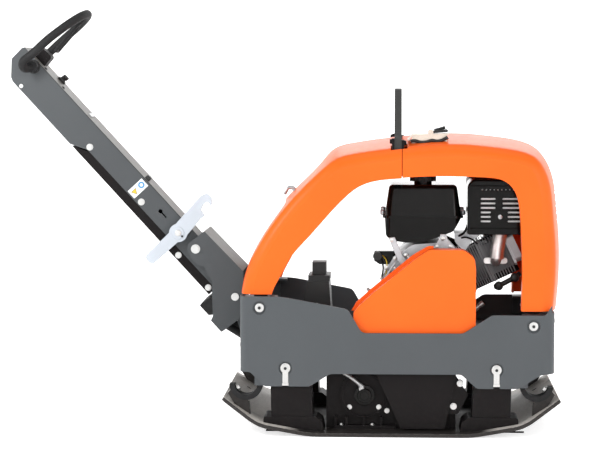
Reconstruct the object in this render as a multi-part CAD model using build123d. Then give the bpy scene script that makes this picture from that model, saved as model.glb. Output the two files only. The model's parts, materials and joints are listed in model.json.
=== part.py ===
from build123d import *
import math
import os

# Reversible plate compactor. Millimetres; +X is forward, +Y is the machine's left, +Z is up.
# The origin is the centre of the base plate's contact face, on the ground.

# ---- Driving dimensions: base plate ----
PLATE_LENGTH = 900.0        # tip to tip
PLATE_WIDTH = 600.0
TIP_WIDTH = 484.0           # the plan view narrows towards both tips
PLATE_THICK = 10.0
FLAT_HALF = 215.0           # half the length that touches the ground
KNEE_X, KNEE_Z = 355.0, 25.0    # where the shallow ramp turns into the steep one
TIP_Z = 87.0
TAPER_START = 340.0

# ---- Driving dimensions: exciter ----
SHAFT_X = 70.0              # the two exciter shafts lie at +SHAFT_X and -SHAFT_X
SHAFT_Z = 100.0
GEAR_TEETH = 28
GEAR_MODULE = 2 * SHAFT_X / GEAR_TEETH
GEAR_WIDTH = 40.0
HOUSING_HALF_X = 172.0
HOUSING_TOP = 186.0
HOUSING_WALL = 20.0
HOUSING_NEAR, HOUSING_FAR = -205.0, 205.0
JOURNAL_R = 19.95
BEARING_INNER_R, BEARING_OUTER_R, BEARING_WIDTH = 20.0, 36.0, 16.0

# ---- Driving dimensions: frame ----
FRAME_REAR, FRAME_FRONT = -399.0, 430.0
FRAME_HALF_Y = 275.0
SHEET = 6.0                 # frame plate thickness
REAR_CORNER_R, FRONT_CORNER_R = 25.0, 32.0
CORNER_Y = 236.0            # the side panels wrap round the corners as far in as this
DECK_TOP = 247.0
DECK_THICK = 8.0
BUFFER_X = (-263.0, 268.0)
BUFFER_Y = 215.0
BUFFER_BASE, BUFFER_TOP = 126.0, 176.0

# ---- Driving dimensions: hood ----
HOOD_EDGE_Y = 245.0         # the crown ends here and the rounded side bevel starts
HOOD_SIDE_Y = 262.0         # flat outer side faces
HOOD_CROWN = 23.0           # how far the skin bulges out at the middle
REAR_CROWN_SHARE = 0.6      # the rear slope bulges less
REAR_SLOPE_POINTS = 7       # the edge line's points that lie on the rear slope
HOOD_WALL = 6.0
HOOD_SPLIT = 28.0           # the rear and front hoods meet at this X
HOOD_GAP = 2.0
REAR_HOOD_BASE, FRONT_HOOD_BASE = 372.0, 330.0

# ---- Driving dimensions: engine ----
CRANK_X, CRANK_Z = 114.0, 379.0
BORE_TILT = 25.0            # the cylinder leans up and forward by this angle
BELT_Y = -228.0             # middle of the belt's run
CLUTCH_R, EXCITER_PULLEY_R = 65.0, 60.0
BELT_THICK, BELT_WIDTH = 9.0, 15.0

# ---- Driving dimensions: drawbar, in its own directions ----
PIVOT_X, PIVOT_Z = -424.0, 348.6
BAR_ANGLE = 132.6           # direction of the bar from its pivot, in the side view
BAR_LENGTH = 892.0
BAR_HALF_Y = 62.0
BAR_TOP, BAR_MID, BAR_LOW = 33.6, -30.0, -54.5
BRACKET_HALF_Y = 99.0
CHEEK = 6.0
RING_ON_BAR = (833.2, 15.4)     # along and across the bar
RING_HALF_Y = 121.0
RING_TUBE_R = 11.5
LATCH_HUB = (-580.5, 520.6)

RUN = 0.05                  # radial running clearance of pins and shafts
GAP = 0.4                   # clearance between pieces that move past each other


# ---- Geometry helpers ----
def outline(corners):
    """Face in the XY plane from (a, b) or (a, b, radius) corners."""
    points = [Vector(corner[0], corner[1]) for corner in corners]
    bends = []
    for index, corner in enumerate(corners):
        here = points[index]
        radius = corner[2] if len(corner) > 2 else 0
        if not radius:
            bends.append((here, None, here))
            continue
        back = (points[index - 1] - here).normalized()
        ahead = (points[(index + 1) % len(points)] - here).normalized()
        half = math.radians(back.get_angle(ahead)) / 2
        reach = radius / math.tan(half)
        centre = here + (back + ahead).normalized() * (radius / math.sin(half))
        middle = centre + (here - centre).normalized() * radius
        bends.append((here + back * reach, middle, here + ahead * reach))
    edges = []
    for index, (first, middle, last) in enumerate(bends):
        if middle is not None:
            edges.append(ThreePointArc(first, middle, last))
        following = bends[(index + 1) % len(bends)][0]
        if (following - last).length > 1e-4:
            edges.append(Line(last, following))
    return Face(Wire(edges))


def side_prism(corners, y_low, y_high):
    """Solid with a side-view (x, z) outline, running from y_low to y_high."""
    plane = Plane(origin=(0, y_low, 0), x_dir=(1, 0, 0), z_dir=(0, -1, 0))
    return extrude(plane * outline(corners), amount=y_high - y_low, dir=(0, 1, 0))


def plan_prism(corners, z_low, z_high):
    """Solid with a plan-view (x, y) outline, running from z_low to z_high."""
    return extrude(Plane.XY.offset(z_low) * outline(corners), amount=z_high - z_low, dir=(0, 0, 1))


def front_prism(corners, x_low, x_high):
    """Solid with a front-view (y, z) outline, running from x_low to x_high."""
    plane = Plane(origin=(x_low, 0, 0), x_dir=(0, 1, 0), z_dir=(1, 0, 0))
    return extrude(plane * outline(corners), amount=x_high - x_low, dir=(1, 0, 0))


def block(x_low, x_high, y_low, y_high, z_low, z_high):
    centre = Pos((x_low + x_high) / 2, (y_low + y_high) / 2, (z_low + z_high) / 2)
    return centre * Box(x_high - x_low, y_high - y_low, z_high - z_low)


def rod(start, end, radius):
    axis = Vector(*end) - Vector(*start)
    return Solid.make_cylinder(radius, axis.length, Plane(origin=start, z_dir=axis))


def rod_y(x, z, radius, y_low, y_high):
    return rod((x, y_low, z), (x, y_high, z), radius)


def ring_y(x, z, outer, inner, y_low, y_high):
    return rod_y(x, z, outer, y_low, y_high) - rod_y(x, z, inner, y_low - 1, y_high + 1)


def rounded_box(x_low, x_high, y_low, y_high, radius):
    """Plan-view corners of a rectangle with one corner radius."""
    return [(x_low, y_low, radius), (x_high, y_low, radius), (x_high, y_high, radius), (x_low, y_high, radius)]


def mirrored(shape):
    """The same piece on the machine's other side."""
    return shape.mirror(Plane.XZ)


def joined(shapes):
    total = shapes[0]
    for shape in shapes[1:]:
        total = total + shape
    return total


def offset_points(points, distance):
    """Open (x, z) polyline moved to its left by distance."""
    moved = []
    for index, (x, z) in enumerate(points):
        before = points[max(index - 1, 0)]
        after = points[min(index + 1, len(points) - 1)]
        run_x, run_z = after[0] - before[0], after[1] - before[1]
        length = math.hypot(run_x, run_z)
        moved.append((x - distance * run_z / length, z + distance * run_x / length))
    return moved


def hex_head(place, direction, radius, height):
    """Washer and hexagon head on a surface point, standing out along direction."""
    plane = Plane(origin=place, z_dir=direction)
    washer = extrude(plane * Circle(radius * 1.25), amount=height * 0.25)
    head = extrude(plane * RegularPolygon(radius, 6), amount=height)
    return washer + head


def tube_along(points, radius, bend_share=0.45):
    """Tube on straight runs joined by the largest tangent arcs that the runs allow."""
    path_points = [Vector(*point) for point in points]
    radii = []
    for before, here, after in zip(path_points, path_points[1:], path_points[2:]):
        half_turn = math.radians((here - before).get_angle(after - here)) / 2
        shorter = min((here - before).length, (after - here).length)
        radii.append(bend_share * shorter / math.tan(half_turn))
    path = FilletPolyline(*path_points, radius=radii)
    start = Plane(origin=path_points[0], z_dir=path_points[1] - path_points[0])
    return sweep(start * Circle(radius), path=path), path.length, radii


def save(node, *shapes):
    pieces = [solid for shape in shapes for solid in shape.solids()]
    export_step(Compound(children=pieces), f"parts/{node}.step")


# ---- Base: plate, exciter and everything that shakes with them ----
def plate_solid(thickness):
    """The rockered plate; a thickness above the real one gives the space over it."""
    ramp = math.atan2(TIP_Z - KNEE_Z, PLATE_LENGTH / 2 - KNEE_X)
    shallow = math.atan2(KNEE_Z, KNEE_X - FLAT_HALF)
    knee_shift = thickness * math.tan((ramp + shallow) / 2)
    flat_shift = thickness * math.tan(shallow / 2)
    knee_rise = thickness / math.cos((ramp - shallow) / 2) * math.cos((ramp + shallow) / 2)
    tip = (PLATE_LENGTH / 2 - thickness * math.sin(ramp), TIP_Z + thickness * math.cos(ramp))
    knee_r, flat_r = 150.0, 320.0
    top = [tip, (KNEE_X - knee_shift, KNEE_Z + knee_rise, knee_r), (FLAT_HALF - flat_shift, thickness, flat_r)]
    bottom = [(PLATE_LENGTH / 2, TIP_Z), (KNEE_X, KNEE_Z, knee_r), (FLAT_HALF, 0.0, flat_r)]
    corners = [(-x, *rest) for x, *rest in bottom] + bottom[::-1] + top + [(-x, *rest) for x, *rest in top[::-1]]
    return side_prism(corners, -PLATE_WIDTH / 2, PLATE_WIDTH / 2)


def strap_post(end, side):
    """Welded post under the outer end of a retaining strap; end is -1 at the rear, 1 in front."""
    corners = [(372, 36), (404, 58), (434, 106), (419, 122), (392, 98), (376, 84)]
    post = side_prism([(end * x, z) for x, z in corners], side * 230 - 8, side * 230 + 8)
    return post - rod_y(end * STRAP_X, STRAP_Z, STRAP_OUTER_R + GAP, -300, 300)


STRAP_X, STRAP_Z = 384.0, 134.0
STRAP_OUTER_R, STRAP_INNER_R = 45.0, 31.0


def base_plate():
    half, tip = PLATE_WIDTH / 2, TIP_WIDTH / 2
    plan = [(PLATE_LENGTH / 2, -tip, 16), (TAPER_START, -half, 70), (-TAPER_START, -half, 70),
            (-PLATE_LENGTH / 2, -tip, 16), (-PLATE_LENGTH / 2, tip, 16), (-TAPER_START, half, 70),
            (TAPER_START, half, 70), (PLATE_LENGTH / 2, tip, 16)]
    plate = plate_solid(PLATE_THICK) & plan_prism(plan, -1, 150)
    posts = [strap_post(end, side) for end in (-1, 1) for side in (-1, 1)]
    plate = joined([plate] + posts)
    hole = [(end * x, side * 120) for end in (-1, 1) for x in (402,) for side in (-1, 1)]
    for x, y in hole:
        plate = plate - Pos(x, y, 60) * Cylinder(EXTENSION_HOLE_R, 60)
    return plate.solids().sort_by(SortBy.VOLUME)[-1]


EXTENSION_HOLE_R = 6.5      # clearance holes for bolting extension plates to the upturned ends


def exciter_housing():
    ends = HOUSING_HALF_X
    body = side_prism([(-ends, PLATE_THICK), (ends, PLATE_THICK), (ends, HOUSING_TOP, 18),
                       (-ends, HOUSING_TOP, 18)], HOUSING_NEAR, HOUSING_FAR - HOUSING_WALL)
    cavity = block(-ends + HOUSING_WALL, ends - HOUSING_WALL, HOUSING_NEAR + HOUSING_WALL, HOUSING_FAR,
                   PLATE_THICK + 12, HOUSING_TOP - 10)
    body = body - cavity
    for x in (-SHAFT_X, SHAFT_X):
        body = body - rod_y(x, SHAFT_Z, BEARING_OUTER_R, HOUSING_NEAR - 1, HOUSING_NEAR + HOUSING_WALL + 1)
    flange = block(-150, 12, HOUSING_NEAR - 20, HOUSING_NEAR, PLATE_THICK, PLATE_THICK + 9)
    ribs = [block(x - 3, x + 3, HOUSING_NEAR - 17, HOUSING_NEAR, PLATE_THICK + 9, 42)
            for x in (-147, -118, -72, -26)]
    return joined([body, flange] + ribs)


def exciter_end_cover():
    plate = side_prism([(-HOUSING_HALF_X, PLATE_THICK), (HOUSING_HALF_X, PLATE_THICK),
                        (HOUSING_HALF_X, HOUSING_TOP, 18), (-HOUSING_HALF_X, HOUSING_TOP, 18)],
                       HOUSING_FAR - HOUSING_WALL, HOUSING_FAR)
    for x in (-SHAFT_X, SHAFT_X):
        pocket = rod_y(x, SHAFT_Z, BEARING_OUTER_R, HOUSING_FAR - HOUSING_WALL - 1, HOUSING_FAR - 2)
        plate = plate - pocket + rod_y(x, SHAFT_Z, BEARING_OUTER_R + 12, HOUSING_FAR, HOUSING_FAR + 5)
    return plate


def exciter_cover():
    """Round cover over the idle shaft's bearing, with a flat lower edge, boss and cap."""
    x = -SHAFT_X
    disc = rod_y(x, SHAFT_Z, 65, HOUSING_NEAR - 10, HOUSING_NEAR) - block(-200, 60, -250, -150, 0, 47)
    boss = rod_y(x, SHAFT_Z - 2, 26, HOUSING_NEAR - 16, HOUSING_NEAR - 10)
    cap = rod_y(x - 1, SHAFT_Z - 4, 15, HOUSING_NEAR - 22, HOUSING_NEAR - 16)
    return disc + boss + cap


def exciter_bearings():
    places = (HOUSING_NEAR + 2, HOUSING_FAR - 2 - BEARING_WIDTH)
    return [ring_y(x, SHAFT_Z, BEARING_OUTER_R - 0.02, BEARING_INNER_R, y, y + BEARING_WIDTH)
            for x in (-SHAFT_X, SHAFT_X) for y in places]


def buffer_brackets():
    """Four hollow pedestals that carry the rubber buffers."""
    brackets = []
    foot_length, foot_top = 22.0, 48.0
    for side_shape in ([(-315, 0), (-204, 0), (-210, BUFFER_BASE), (-318, BUFFER_BASE)],
                       [(210, 0), (314, 0), (317, BUFFER_BASE), (219, BUFFER_BASE)]):
        low, high = side_shape[0][0], side_shape[1][0]
        foot = [(low - foot_length, 0), (high + foot_length + 8, 0), (high + foot_length, foot_top - 12, 10),
                (high + 6, foot_top, 8), (low - foot_length, foot_top, 8)]
        if low > 0:
            foot = [(low + high - x, z, *rest) for x, z, *rest in reversed(foot)]
        outer = side_prism(side_shape, -262, -170) + side_prism(foot, -266, -166)
        centre = sum(x for x, _ in side_shape) / 4
        inner = block(centre - 42, centre + 42, -252, -160, 34, BUFFER_BASE - 12)
        shape = (outer - inner - plate_solid(PLATE_THICK)).solids().sort_by(Axis.Z)[-1]
        brackets += [shape, mirrored(shape)]
    return brackets


LOWER_GUARD = [(-49, 182), (-37, 156), (27, 15, 6), (142, 15, 6), (171, 156), (176, 182)]


def lower_belt_guard():
    """Shell over the exciter pulley, with its side bracket and spacers."""
    y_face, y_open, skin = -252, HOUSING_NEAR - 14, 3.0
    shell = side_prism(LOWER_GUARD, y_face, y_open)
    inner = [(-45, 190), (-33.5, 156), (29.5, 18), (139.5, 18), (167.5, 156), (172, 190)]
    shell = shell - side_prism(inner, y_face + skin, y_open + 1)
    bracket = side_prism([(171.6, 157), (204, 106, 8), (178, 54, 8), (150.5, 54)], -243, -237)
    for x, z in GUARD_BOLTS:
        bracket = bracket + ring_y(x, z, 9, 5, -237, HOUSING_NEAR if x < HOUSING_HALF_X else -228)
    return [shell, bracket - joined([rod_y(x, z, 5, -250, -200) for x, z in GUARD_BOLTS])]


GUARD_BOLTS = [(183.0, 136.0), (165.5, 75.0)]


def base_bolts():
    cover = [(-110.6, 66.6), (-32.0, 67.2)]
    bolts = [hex_head((x, HOUSING_NEAR - 10, z), (0, -1, 0), 5.5, 5) for x, z in cover]
    bolts.append(hex_head((-10.5, HOUSING_NEAR, 56), (0, -1, 0), 5.5, 5))
    bolts += [hex_head((x, -243, z), (0, -1, 0), 7, 6) for x, z in GUARD_BOLTS]
    bolts += [hex_head((x, HOUSING_FAR, z), (0, 1, 0), 7, 7)
              for x in (-158, 0, 158) for z in (30, 170)]
    bolts += [hex_head((x, y, PLATE_THICK + 9), (0, 0, 1), 5, 5)
              for x in (-132, -50) for y in (HOUSING_NEAR - 11,)]
    for end in (-1, 1):
        place = (end * (STRAP_X + 24.5), STRAP_Z - 14.5)
        out = (-end * 0.86, 0, 0.51)
        bolts += [hex_head((place[0], side * 230, place[1]), out, 8, 7) for side in (-1, 1)]
    return bolts


def eccentric_shaft(x, y_start):
    """Shaft with two half-round masses; the masses hang down at rest."""
    shaft = rod_y(x, SHAFT_Z, JOURNAL_R, y_start, HOUSING_FAR - 3)
    for y_low, y_high in ((-180, -30), (30, 180)):
        mass = rod_y(x, SHAFT_Z, 60, y_low, y_high) - block(x - 70, x + 70, -200, 200, SHAFT_Z - 4, 200)
        shaft = shaft + mass
    return shaft


def involute_gear(teeth, module, width, y_low, phase):
    """Spur gear about a Y axis through the origin; one tooth points along +X at phase 0."""
    pressure = math.radians(20)
    pitch_r = teeth * module / 2
    base_r = pitch_r * math.cos(pressure)
    tip_r, root_r = pitch_r + 0.9 * module, pitch_r - 1.2 * module
    backlash = 0.5
    half_tooth = (math.pi * module / 2 - backlash) / 2 / pitch_r
    involute_at_pitch = math.tan(pressure) - pressure
    flank = []
    for step in range(5):
        radius = base_r + (tip_r - base_r) * step / 4
        roll = math.sqrt(max((radius / base_r) ** 2 - 1, 0))
        flank.append((radius, half_tooth + involute_at_pitch - (roll - math.atan(roll))))
    points = []
    for tooth in range(teeth):
        middle = 2 * math.pi * tooth / teeth + phase
        side = [(root_r, flank[0][1])] + flank
        for radius, angle in side:
            points.append((radius * math.cos(middle - angle), radius * math.sin(middle - angle)))
        for radius, angle in reversed(side):
            points.append((radius * math.cos(middle + angle), radius * math.sin(middle + angle)))
    gear = side_prism(points, y_low, y_low + width)
    return gear - rod_y(0, 0, JOURNAL_R + 0.01, y_low - 1, y_low + width + 1)


def grooved_pulley(x, z, radius, bore_r):
    """Wheel with one rectangular belt groove, centred on the belt's run."""
    y_low, y_high = BELT_Y - 12, BELT_Y + 12
    wheel = rod_y(x, z, radius, y_low, y_high) - rod_y(x, z, bore_r, y_low - 1, y_high + 1)
    groove = ring_y(x, z, radius + 1, radius - BELT_THICK - 3, BELT_Y - 8.5, BELT_Y + 8.5)
    return wheel - groove


# ---- Frame ----
def frame_ring():
    """Upright wall of bent plate, seen in plan as a rounded rectangle."""
    def loop(inset):
        rear, front, side = FRAME_REAR + inset, FRAME_FRONT - inset, FRAME_HALF_Y - inset
        rear_r, front_r = REAR_CORNER_R - inset, FRONT_CORNER_R - inset
        return [(rear, -side, rear_r), (front, -side, front_r), (front, side, front_r), (rear, side, rear_r)]
    return plan_prism(loop(0), 100, 380) - plan_prism(loop(SHEET), 90, 390)


SIDE_OUTLINE = [(FRAME_REAR - 1, 367.5), (-290, 367.5, 260), (-134, 338.5, 60), (-113, 334, 20), (-77, 272, 20),
                (190, 272, 25), (264, 320.5, 25), (406, 320.5, 12), (421, 345), (FRAME_FRONT + 1, 345),
                (FRAME_FRONT + 1, 166), (395, 164, 20), (334, 126.5, 16), (226, 126.5, 16), (185, 163.5, 20),
                (-160, 163.5, 25), (-215, 129.5, 20), (-334, 129.5, 16), (-372, 167.5, 12), (FRAME_REAR - 1, 167.5)]
UPPER_BOLTS = [(-346.8, 337.6), (373.7, 291.7)]
LOWER_BOLTS = [(-278.3, 177.8), (277.6, 175.8)]
RECESS_R = 17.7
LINK_END = 132.0            # height of the limiter links' lower ends


def right_side_panel():
    """Cut and bent side plate with recessed bolt seats, buffer shelves and hood shelves."""
    inner_y = -FRAME_HALF_Y + SHEET
    panel = frame_ring() & side_prism(SIDE_OUTLINE, -FRAME_HALF_Y - 1, -CORNER_Y)
    panel = panel - block(395, 440, -HOOD_SIDE_Y - 1, -CORNER_Y + 1, 326, 400)
    for x, z in UPPER_BOLTS + LOWER_BOLTS:
        panel = panel - rod_y(x, z, RECESS_R, -300, inner_y + 0.01)
    for x, z in LOWER_BOLTS:
        panel = panel - block(x - 8.5, x + 8.5, -300, inner_y + 0.01, 120, z)
    seats = [block(x - 26, x + 26, inner_y, inner_y + 8, z - 24, z + 24) for x, z in UPPER_BOLTS]
    seats += [block(x - 24, x + 24, inner_y, inner_y + 8, 132, 205) for x, _ in LOWER_BOLTS]
    shelves = [block(x - 58, x + 58, inner_y, -165, BUFFER_TOP, BUFFER_TOP + 8) for x in BUFFER_X]
    webs = [block(x + lean, x + lean + 6, inner_y, -175, BUFFER_TOP + 8, DECK_TOP - DECK_THICK)
            for x in BUFFER_X for lean in (-38, 38)]
    hangers = [block(334, 360, inner_y, -208, 128, 158), block(-360, -334, inner_y, -208, 131, 158)]
    hood_shelves = [block(-386, -300, inner_y, -222, 361, 367), block(345, 412, inner_y, -222, 314, 320)]
    panel = joined([panel] + seats + shelves + webs + hangers + hood_shelves)
    for x, z in UPPER_BOLTS + LOWER_BOLTS:
        panel = panel - rod_y(x, z, 6.3, -300, -255)
    return panel


def rear_cross_panel():
    wall = block(FRAME_REAR, FRAME_REAR + SHEET, -CORNER_Y, CORNER_Y, 167.5, 367.5)
    notch = front_prism([(-118, 328, 12), (118, 328, 12), (132, 380), (-132, 380)], FRAME_REAR - 1, FRAME_REAR + 10)
    return wall - notch


HINGE_X, HINGE_Z = 436.0, 322.0     # the front hood turns about this line


def front_cross_panel():
    wall = block(FRAME_FRONT - SHEET, FRAME_FRONT, -CORNER_Y, CORNER_Y, 166, 326)
    slot_rows = [front_prism([(y - 40, 205, 6), (y + 40, 205, 6), (y + 40, 217.5, 6), (y - 40, 217.5, 6)],
                             FRAME_FRONT - 20, FRAME_FRONT + 20) for y in (-120, 0, 120)]
    eyes = [rod_y(HINGE_X, HINGE_Z, 5.5, y - 3, y + 3) + block(FRAME_FRONT - 1, HINGE_X, y - 3, y + 3, 317, HINGE_Z)
            for y in (-99, -61, 61, 99)]
    pins = [rod_y(HINGE_X, HINGE_Z, 3.5, y - 22, y + 22) for y in (-80, 80)]
    return joined([wall - joined(slot_rows)] + eyes + pins)


def engine_deck():
    """Full-length floor between the side panels, cut away where the belt and the hose pass."""
    inner_y = FRAME_HALF_Y - SHEET
    rear, front, rear_r, front_r = FRAME_REAR + SHEET, FRAME_FRONT - SHEET, REAR_CORNER_R - 5, FRONT_CORNER_R - 5
    deck = plan_prism([(rear, -inner_y, rear_r), (front, -inner_y, front_r), (front, inner_y, front_r),
                       (rear, inner_y, rear_r)], DECK_TOP - DECK_THICK, DECK_TOP)
    deck = deck - block(-104, 227, -inner_y - 1, -196, 200, 300)
    deck = deck - block(-190, -140, -236, -176, 200, 300)
    beams = [block(-140, 340, side * 110 - 15, side * 110 + 15, 215, DECK_TOP - DECK_THICK) for side in (-1, 1)]
    return joined([deck] + beams)


def drawbar_lug():
    """Bushed tube and gussets that stand off the frame's rear wall."""
    tube = rod_y(PIVOT_X, PIVOT_Z, 20, -88, 88)
    gusset = [(FRAME_REAR, 214), (FRAME_REAR, 348), (PIVOT_X, PIVOT_Z + 20), (PIVOT_X - 20, PIVOT_Z),
              (PIVOT_X - 14, PIVOT_Z - 16)]
    gussets = [side_prism(gusset, y - 5, y + 5) for y in (-70, -24, 24, 70)]
    return joined([tube] + gussets) - rod_y(PIVOT_X, PIVOT_Z, PIN_R + RUN, -100, 100)


PIN_R = 8.0


def rubber_buffers():
    """Four rubber mounts: a waisted block between two end discs."""
    buffers = []
    for x in BUFFER_X:
        for side in (-1, 1):
            height = BUFFER_TOP - BUFFER_BASE
            body = Pos(x, side * BUFFER_Y, BUFFER_BASE + height / 2) * Cylinder(38, height)
            discs = [Pos(x, side * BUFFER_Y, z) * Cylinder(43, 7) for z in (BUFFER_BASE + 3.5, BUFFER_TOP - 3.5)]
            buffers.append(joined([body] + discs))
    return buffers


def frame_bolts():
    """Recessed panel bolts, and the flat limiter links that hang from the lower ones."""
    seat = -FRAME_HALF_Y + SHEET
    pieces = []
    for x, z in UPPER_BOLTS:
        pieces.append(hex_head((x, seat, z), (0, -1, 0), 9.4, 7) + rod_y(x, z, 6, seat, seat + 9))
    for x, z in LOWER_BOLTS:
        link = rod_y(x, z, 13, seat - 4, seat) + block(x - 7.5, x + 7.5, seat - 4, seat, LINK_END + 6, z)
        foot = block(x - 8.5, x + 8.5, seat - 7, seat, LINK_END, LINK_END + 6)
        pieces.append(link + foot + hex_head((x, seat - 4, z), (0, -1, 0), 8, 6) + rod_y(x, z, 6, seat, seat + 9))
    return pieces + [mirrored(piece) for piece in pieces]


def retaining_straps():
    """Rubber straps slung between the frame and the posts on the base plate."""
    straps = []
    for end in (-1, 1):
        x = end * STRAP_X
        sling = ring_y(x, STRAP_Z, STRAP_OUTER_R, STRAP_INNER_R, -250, -210)
        sling = sling - block(x - 60, x + 60, -260, -200, 127.5 if end > 0 else 130.5, 200)
        straps += [sling, mirrored(sling)]
    return straps


BELT_GUARD = [(-99, 206), (-99, 324, 6), (-86, 341, 8), (-48, 376, 60), (64, 467, 80), (100, 491, 14), (190, 491, 30),
              (219, 470, 22), (222.5, 440, 20), (222.5, 206)]


def belt_guard():
    """Shell over the belt, open towards the engine, with a flange along its rear edge."""
    y_face, y_open, skin = -260.0, -200.0, 3.0
    shell = side_prism(BELT_GUARD, y_face, y_open)
    inner = [(-96, 200), (-96, 322), (-84, 338, 8), (-46, 372, 60), (66, 463, 80), (101, 488, 12), (188, 488, 28),
             (216, 468, 20), (219.5, 440, 18), (219.5, 200)]
    shell = shell - side_prism(inner, y_face + skin, y_open + 1)
    edge = [(-99, 324), (-86, 341, 8), (-48, 376, 60), (64, 467, 80), (100, 491, 14), (112, 491),
            (112, 497), (98, 497, 14), (58, 474, 80), (-53, 383, 60), (-93, 347, 8), (-106, 324)]
    return shell + side_prism(edge, y_open - 3, y_open)


def belt_loop():
    """Two pulley circles joined by their outer tangents, as a closed band."""
    y_low = BELT_Y - BELT_WIDTH / 2

    def hull(extra):
        big, small = CLUTCH_R + extra, EXCITER_PULLEY_R + extra
        run_x, run_z = CRANK_X - SHAFT_X, CRANK_Z - SHAFT_Z
        distance = math.hypot(run_x, run_z)
        lean = math.atan2(run_z, run_x)
        spread = math.acos((big - small) / distance)
        corners = []
        for sign in (1, -1):
            angle = lean + sign * spread
            corners.append((CRANK_X + big * math.cos(angle), CRANK_Z + big * math.sin(angle)))
            corners.append((SHAFT_X + small * math.cos(angle), SHAFT_Z + small * math.sin(angle)))
        top_out, low_out, top_in, low_in = corners
        band = side_prism([top_out, low_out, low_in, top_in], y_low, y_low + BELT_WIDTH)
        return joined([band, rod_y(CRANK_X, CRANK_Z, big, y_low, y_low + BELT_WIDTH),
                       rod_y(SHAFT_X, SHAFT_Z, small, y_low, y_low + BELT_WIDTH)])
    return hull(-1.0) - hull(-1.0 - BELT_THICK)


def hydraulic_reservoir():
    body = side_prism([(-258, DECK_TOP), (-229, 388), (-170, 388), (-160, DECK_TOP)], -62, 62)
    rim = block(-227, -168, -58, 58, 388, 404)
    neck = block(-217, -179, -30, 30, 404, 438)
    return joined([body, rim, neck])


HOSE_POINTS = [(-84, -229, 130), (-104, -230, 147), (-129, -228, 162), (-148, -219, 186), (-160, -204, 216),
               (-168, -184, 250), (-178, -158, 280), (-190, -124, 304), (-200, -92, 320), (-203, -62.9, 324)]
HOSE_R = 4.8


def hydraulic_hose():
    """Hose from the exciter's control port up to the reservoir, with its nut and elbow."""
    tube, length, radii = tube_along(HOSE_POINTS, HOSE_R)
    expected = math.pi * HOSE_R ** 2 * length
    print("hose length", round(length), "volume", round(tube.volume), "expected", round(expected))
    print("hose bend radii", [round(radius) for radius in radii])
    elbow = rod((-78, -221, 118), (-78, -237, 118), 6.5) + rod((-78, -229, 118), (-78, -229, 127), 7.9)
    elbow = elbow + rod((-77, -229, 124), (-84, -229, 130), 6)
    return [tube, elbow]


# ---- Hood ----
HOOD_EDGE = [(-397, 330), (-394, 372), (-386, 415), (-373, 453), (-333, 529), (-273, 610), (-184, 700), (-146, 728),
             (-104, 741), (-39, 751), (30, 759.5), (108, 766), (190, 767), (285, 758), (343, 748), (374, 735),
             (396, 711), (411, 678), (423, 602), (430, 520), (432, 450), (429, 380), (424, 325)]
REAR_WINDOW = [(-316, 340), (-314, 376), (-294, 417), (-264, 471), (-224, 517), (-157, 592.5), (-117, 633),
               (-90, 654), (-58, 668), (0, 677), (60, 683)]
FRONT_WINDOW = [(0, 677), (60, 683), (178, 684.5), (250, 682), (290, 675), (314, 658), (329, 632), (337, 590),
                (341, 520), (344, 440), (343, 380), (342, 300)]


def hood_section(y, offset):
    """Closed side-view section of the hood at y, moved out of the edge line by offset."""
    moved = offset_points(HOOD_EDGE, offset)
    if offset > 0:
        slope = offset_points(HOOD_EDGE, offset * REAR_CROWN_SHARE)
        moved = slope[:REAR_SLOPE_POINTS] + moved[REAR_SLOPE_POINTS:]
    points = [Vector(x, y, z) for x, z in moved]
    first, last = points[0], points[-1]
    low = 290.0
    return Wire([Spline(*points), Line(last, (last.X, y, low)), Line((last.X, y, low), (first.X, y, low)),
                 Line((first.X, y, low), first)])


# Side bevel of the hood: distance from the middle plane, and offset from the edge line
HOOD_BEVEL = [(HOOD_SIDE_Y, -30.0), (260.5, -24.0), (256.5, -15.0), (250.0, -7.0), (243.0, -1.5), (232.0, 2.0)]


def hood_volume(inset):
    """Crowned body of the hood, shrunk on all sides by inset."""
    profile = list(HOOD_BEVEL)
    for share in (0.8, 0.6, 0.3, 0.0):
        profile.append((share * HOOD_EDGE_Y, HOOD_CROWN * (1 - share ** 2)))
    near = [(inset - y, offset - inset) for y, offset in profile[:-1]]
    far = [(-y, offset) for y, offset in reversed(near)]
    middle = (0.0, profile[-1][1] - inset)
    return Solid.make_loft([hood_section(y, offset) for y, offset in near + [middle] + far])


def window_prism(points, closing, grow):
    """Side opening below a curved line; grow moves the line outwards."""
    line = offset_points(points, grow)
    spots = [Vector(x, 0, z) for x, z in line]
    corners = [spots[-1]] + [Vector(x, 0, z) for x, z in closing] + [spots[0]]
    edges = [Spline(*spots)] + [Line(a, b) for a, b in zip(corners, corners[1:]) if (a - b).length > 1e-3]
    return extrude(Face(Wire(edges)), amount=300, dir=(0, 1, 0), both=True)


def hood_shell():
    outer = hood_volume(0.0)
    return outer, outer - hood_volume(HOOD_WALL)


def window_rim(outer, window, wider):
    """Return flanges that stiffen the edge of both side openings."""
    band = (wider - window) & outer
    depth_in, depth_out = HOOD_SIDE_Y - 40, HOOD_SIDE_Y - HOOD_WALL + 0.5
    near = band & block(-450, 450, -depth_out, -depth_in, 200, 800)
    return near + mirrored(near)


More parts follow.
